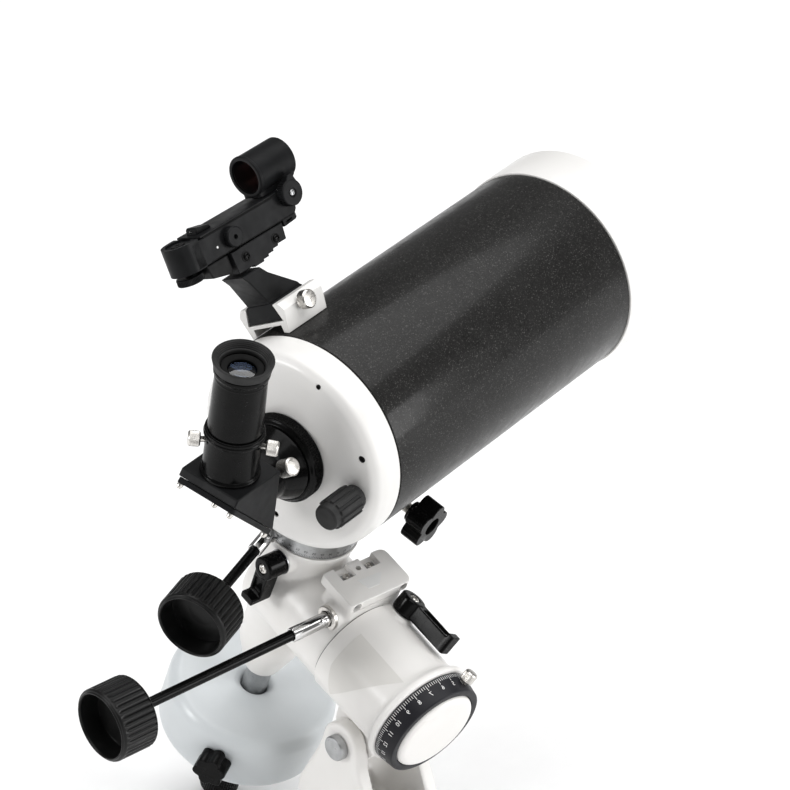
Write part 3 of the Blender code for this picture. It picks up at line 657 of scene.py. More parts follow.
def build_rear_cell():
    cell = [(22, -69.2), (40, -69.2), (58, -69.0), (66, -67.9), (70.6, -64.2), (72, -58), (72, -44.6),
            (69.6, -44.6), (69.6, -33), (66, -33), (66, -56), (60, -63.4), (22, -64.5)]
    rear = turned("rear_casting", fillet(cell, 2.2, closed=True), OPTICAL, "white", 192)
    tools = [hole(4.5, -80, -50, move(OPTICAL, 56, -10.5))]
    adjusters = []
    # Degrees round the cell, distance from its axis and the hole's radius.
    places = ((86, 65, 1.7), (37, 62.5, 2.5), (-83, 52, 2.2))
    for number, (degrees, reach, radius) in enumerate(places, 1):
        angle = math.radians(degrees)
        spot = move(OPTICAL, reach * math.cos(angle), -reach * math.sin(angle))
        tools.append(hole(radius, -80, -66.2, spot, 32))
        socket = [(0, -67.3), (radius * 0.5, -67.3), (radius * 0.5, -68.2), (radius * 0.92, -68.2),
                  (radius * 0.92, -66.0), (0, -66.0)]
        adjusters.append(turned(f"collimation_screw_{number}", socket, spot, "optical", 32))
    stands_for(carve(rear, *tools), "rear_cell")
    for adjuster in adjusters:
        rides_with(adjuster, "rear_cell")

    # Focuser: Z points backwards, from the cell's face.
    focus = aim(TUBE, (56, -70.4, 10.5), (0, -1, 0))
    grip = [(0, 31.8), (7.4, 31.8), (8.6, 30.8), (8.8, 26.4), (9.3, 25.6), (9.3, 5.6), (8.9, 4.6),
            (8.4, 4.4), (8.2, 0.4), (0, 0.4)]
    raised = bars(12, 1.1, 5.2, 26, 0.62)
    stands_for(turned("focus_grip", fillet(refine(grip, 1.2), 0.3, 2), focus, "rubber", 288, raised, 32),
               "focus_knob")
    stands_for(rod("focus_stem", 3, -24, 13.5, focus, "steel"), "focus_screw")

    back = turn(TUBE, 90, "X")  # Z backwards
    collar = [(22, 69.6), (29.6, 69.6), (30.2, 70.2), (30.2, 77.4), (29.5, 78.2), (28.8, 78.4), (27.2, 80),
              (22, 80)]
    fine = ribs(120, 0.55, 70.4, 77.3, 0.7)
    stands_for(turned("clamp_collar", fillet(refine(collar, 1.5), 0.2, 2), back, "gloss", 480, fine, 30),
               "visual_back_ring")
    cone = [(16.2, 72.4), (21.5, 72.4), (21.5, 80.4), (26.2, 80.4), (25.6, 82), (19.6, 92.4), (18.9, 94.2),
            (18.6, 103.8), (17.8, 104.6), (16.2, 104.6)]
    screw_way = aim(TUBE, (0, -98, 0), (math.cos(math.radians(51)), 0, math.sin(math.radians(51))))
    backplate = turned("visual_back_cone", fillet(cone, 0.8, closed=True), back, "gloss", 128)
    stands_for(carve(backplate, hole(2.3, 12, 30, screw_way, 24)), "visual_back")
    boss = [(2.4, 17.9), (4.2, 17.9), (3.9, 19.5), (2.4, 19.5)]
    rides_with(turned("visual_back_boss", boss, screw_way, "gloss", 32), "visual_back")
    thumbscrew("visual_back_thumbscrew", "visual_back_screw", screw_way, 16.6, 22.5, 33.5, 6.0)

    dovetail = [(-21.6, -86.4), (21.6, -86.4), (18.8, -73.2), (-18.8, -73.2)]
    bar = end_prism("dovetail_rail", dovetail, -16, 70, TUBE, "aluminium")
    stands_for(soften(bar, 0.6), "dovetail_bar")


# ---------------------------------------------------------------- diagonal and eyepiece

def build_diagonal():
    half = 22.7
    section = [(-19.6, 22.5), (22.5, 22.5), (22.5, -26.9), (-22.4, 18.0)]
    body = side_prism("diagonal_housing", section, -half, half, DIAGONAL, "satin")
    pocket = side_prism("pocket", [(15.2, 15.2), (-29, 15.2), (15.2, -29)], -17.4, 17.4, DIAGONAL, "satin")
    forward = turn(DIAGONAL, -90, "X")
    bores = [hole(14.4, 10, 30, way) for way in (forward, DIAGONAL)]
    carve(body, pocket, *bores)
    stands_for(soften(body, 0.7, 3), "diagonal_body")
    prism_glass = side_prism("folding_prism", [(14.8, 14.8), (-19.2, 14.8), (14.8, -19.2)], -17, 17,
                             DIAGONAL, "clear")
    stands_for(prism_glass, "diagonal_prism")

    slope = turn(move(DIAGONAL, 0, -1.4, -6.4), -45, "X")
    plate = prism("diagonal_cover", rounded_box(2 * half, 62, 3.2), -1.5, 2.2, slope, "satin")
    stands_for(soften(plate, 0.4), "diagonal_plate")
    underneath = turn(slope, 180, "X")
    corners = [(x, y) for x in (-20.2, 20.2) for y in (-28, 28)]
    for number, (x, y) in enumerate(corners, 1):
        phillips(f"cover_screw_{number}", 2.1, move(underneath, x, y, 1.5), "diagonal_plate", "nickel", 3.4)

    nose = [(14.4, 22.9), (15.85, 22.9), (15.85, 50.2), (15.2, 51), (14.4, 51)]
    stands_for(turned("nosepiece", fillet(nose, 0.3, closed=True), forward, "gloss", 96),
               "diagonal_nosepiece")
    flange = [(15.9, 22.7), (19.8, 22.7), (19.8, 24.6), (19.2, 25.2), (15.9, 25.2)]
    rides_with(turned("nosepiece_flange", fillet(flange, 0.3, closed=True), forward, "gloss", 96),
               "diagonal_nosepiece")

    holder = [(16.2, 22.9), (19.2, 22.9), (19.2, 24.6), (18.4, 25.4), (17.9, 26), (17.9, 50.6),
              (18.2, 51.4), (19.3, 52.2), (19.5, 53), (19.5, 54), (18.9, 54.6), (19.1, 55.2), (19.1, 56.2),
              (18.3, 57), (16.2, 57)]
    tube = turned("holder_tube", fillet(holder, 0.25, 2, closed=True), DIAGONAL, "gloss", 128)
    ways = []
    for number, degrees in ((1, 29), (2, -140)):
        angle = math.radians(degrees)
        ways.append(aim(DIAGONAL, (0, 0, 46), (math.cos(angle), math.sin(angle), 0)))
        thumbscrew(f"holder_screw_{number}", f"holder_thumbscrew_{number}", ways[-1], 16.6, 20.6, 28.5, 5.0)
    stands_for(carve(tube, *(hole(2.3, 12, 30, way, 24) for way in ways)), "eyepiece_holder")


def build_eyepiece():
    barrel = [(14.6, 25), (15.6, 25), (15.87, 25.4), (15.87, 65), (14.6, 65)]
    stands_for(turned("eyepiece_nose", barrel, DIAGONAL, "chrome", 96), "eyepiece_barrel")
    shell = [(16.3, 57.5), (17.3, 57.5), (17.5, 58.2), (16.7, 96.4), (16.9, 97.2), (16.7, 97.8),
             (16.7, 99.4), (17.5, 100.6), (17.9, 101.4), (17.9, 103.4), (17.4, 104), (13.6, 104),
             (13.2, 102.6), (9.6, 101.6), (9.6, 97.5), (13, 92), (13, 66), (16.3, 66)]
    stands_for(turned("eyepiece_shell", fillet(shell, 0.25, 2, closed=True), DIAGONAL, "gloss", 128),
               "eyepiece_body")
    cup = [(14.0, 104.4), (18.1, 104.4), (18.3, 105.4), (19.0, 108.4), (19.6, 110.6), (19.4, 111.3),
           (18.5, 111.4)]
    inside = [(18.1, 110.7), (17.6, 110.8), (17.4, 109.9), (16.9, 110.0), (16.7, 109.0), (16.2, 109.1),
              (16.0, 108.0), (15.5, 108.1), (15.3, 107.0), (14.6, 106.9), (14.2, 106.0)]
    stands_for(turned("rubber_eyecup", fillet(cup + inside, 0.2, 2, closed=True), DIAGONAL, "rubber", 128),
               "eyecup")
    retainer = [(9.3, 102.2), (13.4, 103.2), (13.4, 104.2), (12.6, 104.6), (10.4, 103.9), (9.3, 103.2)]
    rides_with(turned("lens_retainer", fillet(retainer, 0.2, 2, closed=True), DIAGONAL, "optical", 128),
               "eye_lens")
    lens = [(0, 98.4), (4, 98.5), (9.2, 99.3), (9.2, 101.8), (7, 102.4), (5, 102.8), (2.5, 103.1), (0, 103.2)]
    stands_for(turned("eye_lens_glass", lens, DIAGONAL, "eye_glass", 96), "eye_lens")


# ---------------------------------------------------------------- red dot finder

def build_shoe():
    outline = [(-16, 66), (16, 66), (21, 86), (17.5, 90.8), (12.6, 90.8), (16.4, 79), (-16.4, 79),
               (-12.6, 90.8), (-17.5, 90.8), (-21, 86)]
    shoe = end_prism("finder_shoe_casting", outline, -41.5, -3, SHOE, "white")
    seat = turned("seat", [(0, -60), (72.4, -60), (72.4, 10), (0, 10)], turn(SHOE, -90, "X"), "white", 192)
    screw_way = aim(SHOE, (0, -24, 85), (1, 0, 0))
    hollow = gap((-12.8, -50, 60), (12.8, 10, 76.4), SHOE)
    carve(shoe, seat, hollow, hole(2.4, 5, 40, screw_way, 24))
    stands_for(soften(shoe, 1.1, 4), "finder_shoe")
    thumbscrew("shoe_thumbscrew", "finder_shoe_screw", screw_way, 15.2, 21.8, 29, 6.2)


def build_foot():
    wedge = end_prism("dovetail_foot", [(-15.9, 79.5), (15.9, 79.5), (11.8, 91.6), (-11.8, 91.6)], -41, -10,
                      SHOE, "satin")
    soften(wedge, 0.5)
    dimple = hole(2.4, 13, 40, aim(SHOE, (0, -24, 85), (1, 0, 0)), 24)
    stands_for(carve(wedge, dimple), "finder_foot")
    # The column's top leans towards the finder.
    lean = Matrix.Rotation(math.radians(4), 3, "Y")
    lower = [(-10.6, -40.6, 91.4), (10.6, -40.6, 91.4), (11.4, -10.4, 91.4), (-11.4, -10.4, 91.4)]
    ledge = [(-10.4, -41.6, 94), (10.4, -41.6, 94), (11.6, -12, 94), (-11.6, -12, 94)]
    waist_corners = ((-9.6, -55.5), (9.6, -55.5), (9.6, -37.5), (-9.6, -37.5))
    top_corners = ((-9.8, -60), (9.8, -60), (9.8, -43), (-9.8, -43))
    waist = [lean @ Vector((x, y, 112.5)) for x, y in waist_corners]
    upper = [lean @ Vector((x, y, 118.6)) for x, y in top_corners]
    column = lofted("foot_column", [lower, ledge, waist, upper], SHOE, "satin")
    rides_with(soften(column, 0.5, 3, 18), "finder_foot")


def build_finder():
    clamp = [(-63.5, 121), (-50, 121), (-50, 119.7), (-41, 119.7), (-41, 121), (-36, 121), (-36, 122.4),
             (-31, 122.4), (-31, 123.8), (-26, 123.8), (-26, 125), (-18, 125), (-17, 135.7), (-64.5, 135.7)]
    jaw = side_prism("finder_jaw", clamp, -12.5, 12.5, FINDER, "satin")
    stands_for(soften(jaw, 0.45), "finder_clamp")
    for side in (1, -1):
        for number, depth in enumerate((-54, -26.5), 1):
            spot = aim(FINDER, (12.5 * side, depth, 128.8), (side, 0, 0))
            washer = [(0, -0.3), (3.5, -0.3), (3.5, 0.25), (3.1, 0.5), (0, 0.5)]
            tag = ("west" if side > 0 else "east") + str(number)
            rides_with(turned("jaw_washer_" + tag, washer, spot, "matte", 48), "finder_clamp")
            phillips("jaw_screw_" + tag, 2.6, move(spot, 0, 0, 0.5), "finder_clamp", "gloss")
    works_outline = [(-82, 126.4), (-66, 122.6), (-64.6, 125), (-64.6, 135.6), (-84, 135.6)]
    works = side_prism("tilt_works", works_outline, -9.5, 9.5, FINDER, "matte")
    rides_with(soften(works, 0.8), "finder_clamp")

    side = [(-92, 136.6), (-3, 136.6), (-1, 139), (-1, 146), (-5, 152.6), (-92, 153.6)]
    bar = side_prism("finder_bar", side, -11.8, 11.8, FINDER, "satin")
    stands_for(soften(bar, 0.5), "finder_body")
    lid_outline = [(-82, 154), (-7, 153), (-6.4, 153.6), (-7.4, 154.4), (-82, 155.4)]
    lid = side_prism("bar_lid", lid_outline, -11.3, 11.3, FINDER, "satin")
    rides_with(soften(lid, 0.35), "finder_body")
    for name, depth in (("lid_seam", 153.3), ("floor_seam", 136.9)):
        outline = [(-80, depth + 0.1), (-5, depth - 0.7), (-5, depth - 0.1), (-80, depth + 0.7)]
        seam = side_prism(name, outline, -11.86, 11.86, FINDER, "optical")
        rides_with(seam, "finder_body")
    half_turn = [math.pi * s / 24 for s in range(25)]
    heel_round = [(-11.8 * math.cos(a), -91 - 11.8 * math.sin(a)) for a in half_turn]
    heel_outline = [(-11.8, -84.6), *heel_round, (11.8, -84.6)]
    heel = prism("finder_heel", heel_outline, 136.4, 155.2, FINDER, "satin")
    pocket = prism("pocket", circle(8.6, 48, 0, -91.5), 153.7, 160, FINDER, "satin")
    carve(heel, pocket)
    rides_with(soften(heel, 0.6), "finder_body")
    nut_profile = [(0, 153.5), (4.6, 153.5), (4.6, 154.6), (1.6, 154.6), (1.6, 154), (0, 154)]
    nut = turned("heel_nut", fillet(nut_profile, 0.2), move(FINDER, 0, -92), "matte", 6, smooth=20)
    rides_with(nut, "finder_body")
    lamp_outline = [(-78.6, 155), (-78.2, 158.6), (-76.8, 159.6), (-66.6, 157.6), (-65.6, 155)]
    lamp = side_prism("lamp_cover", lamp_outline, -5, 5, FINDER, "satin")
    rides_with(soften(lamp, 0.6, 3), "finder_body")
    lamp_tip = turned("lamp_tip", fillet([(0, 0), (1.2, 0), (1.2, 1.6), (0, 1.8)], 0.5),
                      aim(FINDER, (0, -77.2, 157.2), (0, -1, 0)), "clear", 32)
    rides_with(lamp_tip, "finder_body")
    shelf_outline = [(-14.5, 131.6), (-3.4, 132.4), (-2.2, 133.4), (-2.2, 136.4), (-14.5, 136.4)]
    shelf = side_prism("bar_shelf", shelf_outline, -10.8, 10.8, FINDER, "satin")
    groove = side_prism("groove", [(-11.5, 133.5), (-6.5, 133.9), (-6.5, 134.7), (-11.5, 134.3)], 8, 20,
                        FINDER, "satin")
    soften(carve(shelf, groove), 0.4)
    rides_with(shelf, "finder_body")
    # A small white dot painted on the bar's side as a painted highlight, not a part of the finder.
    mark = turned("painted_highlight_dot", fillet([(0, 0), (0.75, 0), (0.75, 0.3), (0, 0.3)], 0.1),
                  aim(FINDER, (11.8, -72.2, 143.6), (1, 0, 0)), "white_ink_and_highlight", 24)
    rides_with(mark, "finder_body")

    barrel = [(11.5, -22), (13.7, -22), (14.3, -21.4), (14.3, -20), (14.0, -19.6), (14.0, 10.4), (13.5, 11),
              (12.3, 11), (12.3, -19.6), (11.5, -20.4)]
    sight_axis = turn(move(FINDER, 0, 0, 169.7), -90, "X")
    sight = turned("sight_tube", fillet(barrel, 0.3, 2, closed=True), sight_axis, "satin", 128)
    stands_for(sight, "finder_tube")
    neck_outline = [(-21.6, 155.3), (-6, 154.4), (6, 154.4), (10.6, 158), (10.6, 160.5), (-21.6, 160.5)]
    neck = side_prism("sight_neck", neck_outline, -8, 8, FINDER, "satin")
    carve(neck, hole(13.2, -40, 30, sight_axis, 96))
    rides_with(soften(neck, 0.5), "finder_tube")
    window = [(0, 5), (6, 5.4), (12.0, 6.4), (12.0, 8.2), (6, 7.2), (0, 6.8)]
    stands_for(turned("sight_window", window, sight_axis, "red_glass", 96), "finder_lens")

    # The knobs on the side: Z points out of the finder, X along its top edge.
    power = aim(FINDER, (12.2, -4.5, 150.6), (1, 0, 0))
    disc = [(0, 0), (8.2, 0), (8.7, 0.4), (8.7, 5.3), (8.1, 6), (3.0, 6), (2.8, 5.2), (0, 5.2)]
    stands_for(turned("power_dial", fillet(refine(disc, 1.2), 0.3, 2), power, "satin", 160,
                      ribs(40, 0.3, 0.6, 5.1)), "finder_power_knob")
    fin = side_prism("power_pointer", [(-4.4, 5.6), (0.6, 11.2), (4.6, 11.8), (7.4, 2.8), (0, 0)], 0.8, 5.7,
                     move(FINDER, 12.2, -4.5, 150.6), "satin")
    rides_with(soften(fin, 0.5), "finder_power_knob")
    phillips("power_screw", 2.1, move(power, 0, 0, 5.2), "finder_power_knob", "steel", 0.9)
    side_knob = aim(FINDER, (12.2, -59, 144.8), (1, 0, 0))
    cap = [(0, 0), (6.3, 0), (6.8, 0.4), (6.8, 3.6), (6.1, 4.4), (1.5, 4.4), (1.4, 2.2), (0, 2.2)]
    stands_for(turned("azimuth_dial", fillet(refine(cap, 1.0), 0.3, 2), side_knob, "satin", 160,
                      ribs(40, 0.25, 0.6, 3.5)), "finder_azimuth_knob")
    wheel_at = move(FINDER, 0, -92, 131.6)
    rim = [(0, -2.6), (8.4, -2.6), (9, -2.1), (9, 1.7), (8.4, 2.2), (2.5, 2.2), (2.5, 4.3), (0, 4.3)]
    stands_for(turned("altitude_wheel", fillet(refine(rim, 1.0), 0.25, 2), wheel_at, "satin", 224,
                      ribs(56, 0.4, -2.0, 1.6, 0.7)), "finder_altitude_wheel")


# ---------------------------------------------------------------- dials

def lettering(text, size):
    """The outline of a number as a flat bmesh in millimetres, centred on the origin."""
    curve = bpy.data.curves.new("number", "FONT")
    curve.body = text
    curve.size = size
    curve.align_x = "CENTER"
    curve.align_y = "CENTER"
    curve.resolution_u = 3
    writing = bpy.data.objects.new("number", curve)
    bpy.context.scene.collection.objects.link(writing)
    bpy.context.view_layer.update()
    flat = bpy.data.meshes.new_from_object(writing.evaluated_get(bpy.context.evaluated_depsgraph_get()))
    bpy.data.objects.remove(writing)
    bm = bmesh.new()
    bm.from_mesh(flat)
    return bm


def scale_marks(name, where, paint, surface, count, long_every, lengths, numbers, size, rise=0.07):
    """Graduations and numbers round a dial about Z. surface(along) gives the dial's radius and height, where
    along runs from 0 at the edge with the graduations."""
    bm = bmesh.new()

    def on_dial(angle, along, lift):
        radius, height = surface(along)
        return ((radius + lift) * math.cos(angle), (radius + lift) * math.sin(angle), height)

    def slab(points):
        """A thin raised plate whose outline is in angle and distance along."""
        low = [bm.verts.new(on_dial(a, s, -0.2)) for a, s in points]
        high = [bm.verts.new(on_dial(a, s, rise)) for a, s in points]
        bm.faces.new(low)
        bm.faces.new(high)
        for step in range(len(points)):
            after = (step + 1) % len(points)
            bm.faces.new((low[step], low[after], high[after], high[step]))

    radius = surface(0)[0]
    for mark in range(count):
        angle = 2 * math.pi * mark / count
        reach = lengths[0] if mark % long_every == 0 else lengths[1]
        half = 0.16 / radius
        slab([(angle - half, 0.2), (angle + half, 0.2), (angle + half, reach), (angle - half, reach)])
    for index, text in enumerate(numbers):
        middle = 2 * math.pi * index / len(numbers)
        flat = lettering(text, size)
        edges = bmesh.ops.extrude_face_region(flat, geom=flat.faces[:])
        for item in edges["geom"]:
            if isinstance(item, bmesh.types.BMVert):
                item.co.z = 1
        for vert in flat.verts:
            lift = rise if vert.co.z > 0.5 else -0.2
            vert.co = on_dial(middle + vert.co.x / radius, lengths[0] + 0.9 + size * 0.4 - vert.co.y, lift)
        joined = bpy.data.meshes.new("number")
        flat.to_mesh(joined)
        flat.free()
        bm.from_mesh(joined)
        bpy.data.meshes.remove(joined)
    return mesh_piece(name, bm, where, paint, 30)


# ---------------------------------------------------------------- mount, parts that turn with declination

def build_declination():
    circle_profile = [(18, 51.4), (32.4, 51.4), (32.4, 65.6), (33.6, 66.4), (35.4, 66.9), (36, 67.5),
                      (36, 71.9), (35.4, 72.6), (18, 72.6)]
    grip = ribs(120, 0.4, 66.8, 72, 0.7, 35)
    stands_for(turned("declination_dial_ring", fillet(refine(circle_profile, 2), 0.25, 2, closed=True),
                      CRADLE, "steel", 480, grip, 30), "declination_circle")
    degrees = [str(number) for number in (*range(0, 90, 10), *range(90, 0, -10))] * 2
    marks = scale_marks("declination_marks", CRADLE, "dark_ink", lambda along: (32.4, 51.8 + along), 180, 5,
                        (2.6, 1.6), degrees, 2.6, 0.05)
    rides_with(marks, "declination_circle")
    axle = [(0, -30), (7.5, -30), (7.5, 46), (12.4, 46.4), (12.4, 57.6), (7.5, 58), (7.5, 72.6), (0, 72.6)]
    teeth = ribs(60, 0.6, 46.8, 57.3)
    stands_for(turned("declination_spindle", fillet(refine(axle, 4), 0.4, 2), CRADLE, "steel", 240, teeth),
               "declination_axle")

    outline = [(-30, 73), (30, 73), (30, 90), (20.6, 90), (23, 78), (-23, 78), (-20.6, 90), (-30, 90)]
    cradle = end_prism("saddle_casting", outline, -18, 62, CRADLE, "aluminium")
    screw_way = aim(CRADLE, (0, 40, 78), (1, 0, 0))
    carve(cradle, hole(4.4, 15, 60, screw_way, 32))
    stands_for(soften(cradle, 1.2, 4), "saddle")
    boss = turned("saddle_boss", fillet([(4.5, 29.6), (7.6, 29.6), (7.2, 34), (4.5, 34)], 0.4, closed=True),
                  screw_way, "aluminium", 48)
    rides_with(boss, "saddle")

    lobes = star(16.5, 4.6, 5, 160, 0.55)
    knob = prism("saddle_knob", lobes, 51, 65, screw_way, "gloss", 30)
    carve(knob, hole(6.6, 60, 70, screw_way, 48))
    stands_for(soften(knob, 1.6, 4, 45), "saddle_clamp_knob")
    hub = turned("saddle_knob_hub", fillet([(0, 46.5), (7.4, 46.5), (8.6, 51.4), (0, 51.4)], 0.5),
                 screw_way, "gloss", 64)
    rides_with(hub, "saddle_clamp_knob")
    stud_profile = refine([(0, 22.8), (3.9, 22.8), (3.9, 47), (0, 47)], 0.5)
    stud_profile = [(r - (0.35 if r > 3 and step % 2 else 0), z) for step, (r, z) in enumerate(stud_profile)]
    rides_with(turned("saddle_stud", stud_profile, screw_way, "nickel", 48), "saddle_clamp_knob")


# ---------------------------------------------------------------- mount head

def lever(name, node, where, hub_radius, hub_height, half_width, arm_low, arm_high, length, toe):
    """A lock lever: hub along Z, arm towards -Y with a sunk panel, and a toe turned up at its end."""
    hub_profile = [(0, 0), (hub_radius * 0.92, 0), (hub_radius, 1), (hub_radius, hub_height - 1),
                   (hub_radius - 1, hub_height), (0, hub_height)]
    hub = turned(name, fillet(hub_profile, 0.6), where, "gloss", 96)

    def tapered(near_half, near, far_half, far, corner):
        """A four-sided outline across the arm, with its corners rounded."""
        return fillet([(-near_half, near), (near_half, near), (far_half, far), (-far_half, far)], corner,
                      closed=True)

    slim = half_width * 0.9
    arm = prism("arm", tapered(half_width, 0, slim, -length, 1.6), arm_low, arm_high, where, "gloss")
    toe_outline = tapered(half_width * 0.92, -length + 5.2, slim, -length, 1.2)
    foot = prism("toe", toe_outline, arm_low + 1, toe, where, "gloss")
    weld(hub, arm, foot)
    panel_outline = tapered(half_width * 0.62, -hub_radius - 2, half_width * 0.56, -length + 7, 1.2)
    panel = prism("panel", panel_outline, arm_high - 1.8, arm_high + 9, where, "gloss")
    seat = hole(4.1, hub_height - 1.1, hub_height + 3, where)
    carve(hub, panel, seat)
    stands_for(cast(hub, 0.42, 4), node)
    phillips(name + "_screw", 3.5, move(where, 0, 0, hub_height - 1.0), node, "nickel", 1.5)


# The side of the mount that its user faces.
OBSERVER_SIDE = Vector((-0.6, -0.7, 0.4))


def slow_drive(prefix, way, worm_radius, reach, coupler, cable_end):
    """A slow-motion drive: worm in the casting, plated coupler, shaft and a hollow ribbed knob."""
    worm = refine([(0, -reach), (worm_radius, -reach), (worm_radius, -4), (4.95, -4)], 0.7)
    worm = [(r - (0.8 if r == worm_radius and step % 2 else 0), z) for step, (r, z) in enumerate(worm)]
    sleeve = [(5, -3.5), (5, coupler - 0.6), (4.5, coupler), (3.95, coupler), (3.95, coupler - 12),
              (0, coupler - 12)]
    stands_for(turned(prefix + "_worm_shaft", worm + sleeve, way, "chrome", 72), prefix + "_worm")
    shaft = [(0, coupler - 11.6), (3.6, coupler - 11.6), (3.6, cable_end), (0, cable_end)]
    stands_for(turned(prefix + "_flex_shaft", refine(shaft, 6), way, "gloss", 64), prefix + "_drive_shaft")

    end = cable_end
    rim = [(0, end - 12), (7.6, end - 12), (9, end - 10.8), (23.4, end - 9.6), (24.6, end - 8.4),
           (25, end - 7.4), (25, end + 16.6), (24.6, end + 17.6), (24, end + 18), (23.4, end + 18.1),
           (23, end + 19), (22.2, end + 19), (21.6, end + 17.8), (21, end + 4.4), (9, end + 3.6),
           (0, end + 3.6)]
    grip = turned(prefix + "_slow_grip", fillet(refine(rim, 3.2), 0.35, 2), way, "knob", 360,
                  ribs(36, 1.25, end - 8.6, end + 16.2, 0.42, 23), 34)
    stands_for(carve(grip, hole(3.9, end - 20, end + 0.4, way)), prefix + "_slow_knob")


def build_head():
    top = 50.8
    neck = [(0, -95), (11, -95), (12.5, -93.5), (22.2, -67), (22.9, -60), (22.9, -40), (29, -12), (31, 16),
            (31, 42), (33, 48), (33, top + 3), (0, top + 3)]
    casting = turned("head_housing", fillet(neck, 3), HEAD, "casting", 160)
    along = turn(HEAD, -90, "X")
    drum = turned("drum", fillet([(0, -80), (35.5, -80), (35.5, 14), (0, 14)], 5), along, "casting", 160)
    shoulder = prism("shoulder", rounded_box(46, 27.5, 3, 4, -55.6), 8, 43, HEAD, "casting")
    lever_boss = rod("boss", 9.6, 20, 32, aim(HEAD, (0, -10, 39), (-1, 0, 0)), "casting")
    ra_way = joint_frame("ra_slow_motion")
    dec_way = joint_frame("declination_slow_motion")
    ra_boss = turned("boss", [(0, -20), (10.5, -20), (9.2, 0.6), (0, 0.6)], ra_way, "casting", 96)
    dec_boss = turned("boss", [(0, -28), (11.5, -28), (9.4, -1.5), (0, -1.5)], dec_way, "casting", 96)
    weld(casting, drum, shoulder, lever_boss, ra_boss, dec_boss)
    cast(casting, 1.05, 5)
    trims = [gap((-60, -90, -60), (60, -70, 60), HEAD), gap((-60, -90, top), (60, 60, top + 30), HEAD),
             gap((-60, -90, 40.2), (60, -36.5, top + 30), HEAD)]
    rooms = [hole(9.6, -32, 70, HEAD), hole(13.2, 45, 70, HEAD), hole(10.4, -90, -13, along),
             hole(24, -90, -50, along), hole(6.6, -48, 20, ra_way), hole(6.2, -36, 30, dec_way),
             hole(9.4, -120, -60, HEAD)]
    carve(casting, *trims, *rooms)
    stands_for(casting, "head_casting")


def build_worm_cover():
    left, right, near, far = -20, 34, -69.35, -37
    outline = (fillet([(left + 9, far), (left, far), (left, near), (left + 9, near)], 3)[1:-1]
               + fillet([(right - 14, near), (right, near), (right, far), (right - 14, far)], 9)[1:-1])
    cover = prism("worm_cover", outline, 40.4, 48, HEAD, "casting")
    soften(cover, 0.7, 4)
    settle(cover)
    pockets = [gap((-10.4, -48.4, 43.6), (1.2, -30, 50), HEAD),
               gap((11.2, -47.4, 43.6), (23.4, -30, 50), HEAD), hole(2.1, 43, 50, move(HEAD, 6.4, -44), 32)]
    front = turn(move(HEAD, 0, -69.4), 90, "X")
    bolt_places = ((-13.8, 44), (26.6, 44))
    pockets += [hole(3.6, -6, 3, move(front, x, z), 32) for x, z in bolt_places]
    carve(cover, *pockets)
    stands_for(cover, "worm_block")
    for number, (x, z) in enumerate(bolt_places, 1):
        socket = [(0, -4.2), (1.5, -4.2), (1.5, -2.6), (3.4, -2.6), (3.4, -5.6), (0, -5.6)]
        rides_with(turned(f"block_bolt_{number}", socket, move(front, x, z), "steel", 48), "worm_block")
    for number, (x, y) in enumerate(((-3.6, -44.4), (17.2, -43.6)), 1):
        plate = prism(f"gib_plate_{number}", rounded_box(8.6, 4.6, 0.6, x, y), 43.6, 44.2, HEAD, "steel")
        rides_with(soften(plate, 0.2), "worm_block")
        phillips(f"gib_screw_{number}", 2.6, move(HEAD, x, y, 44.2), "worm_block", "nickel", 1.7)
    label_corners = [(-1.6, -52.4), (18.8, -54), (10.4, -62), (1, -61.6)]
    label = prism("block_label", fillet(label_corners, 1, closed=True), 47.9, 48.3, HEAD, "white_ink_and_highlight")
    rides_with(label, "worm_block")


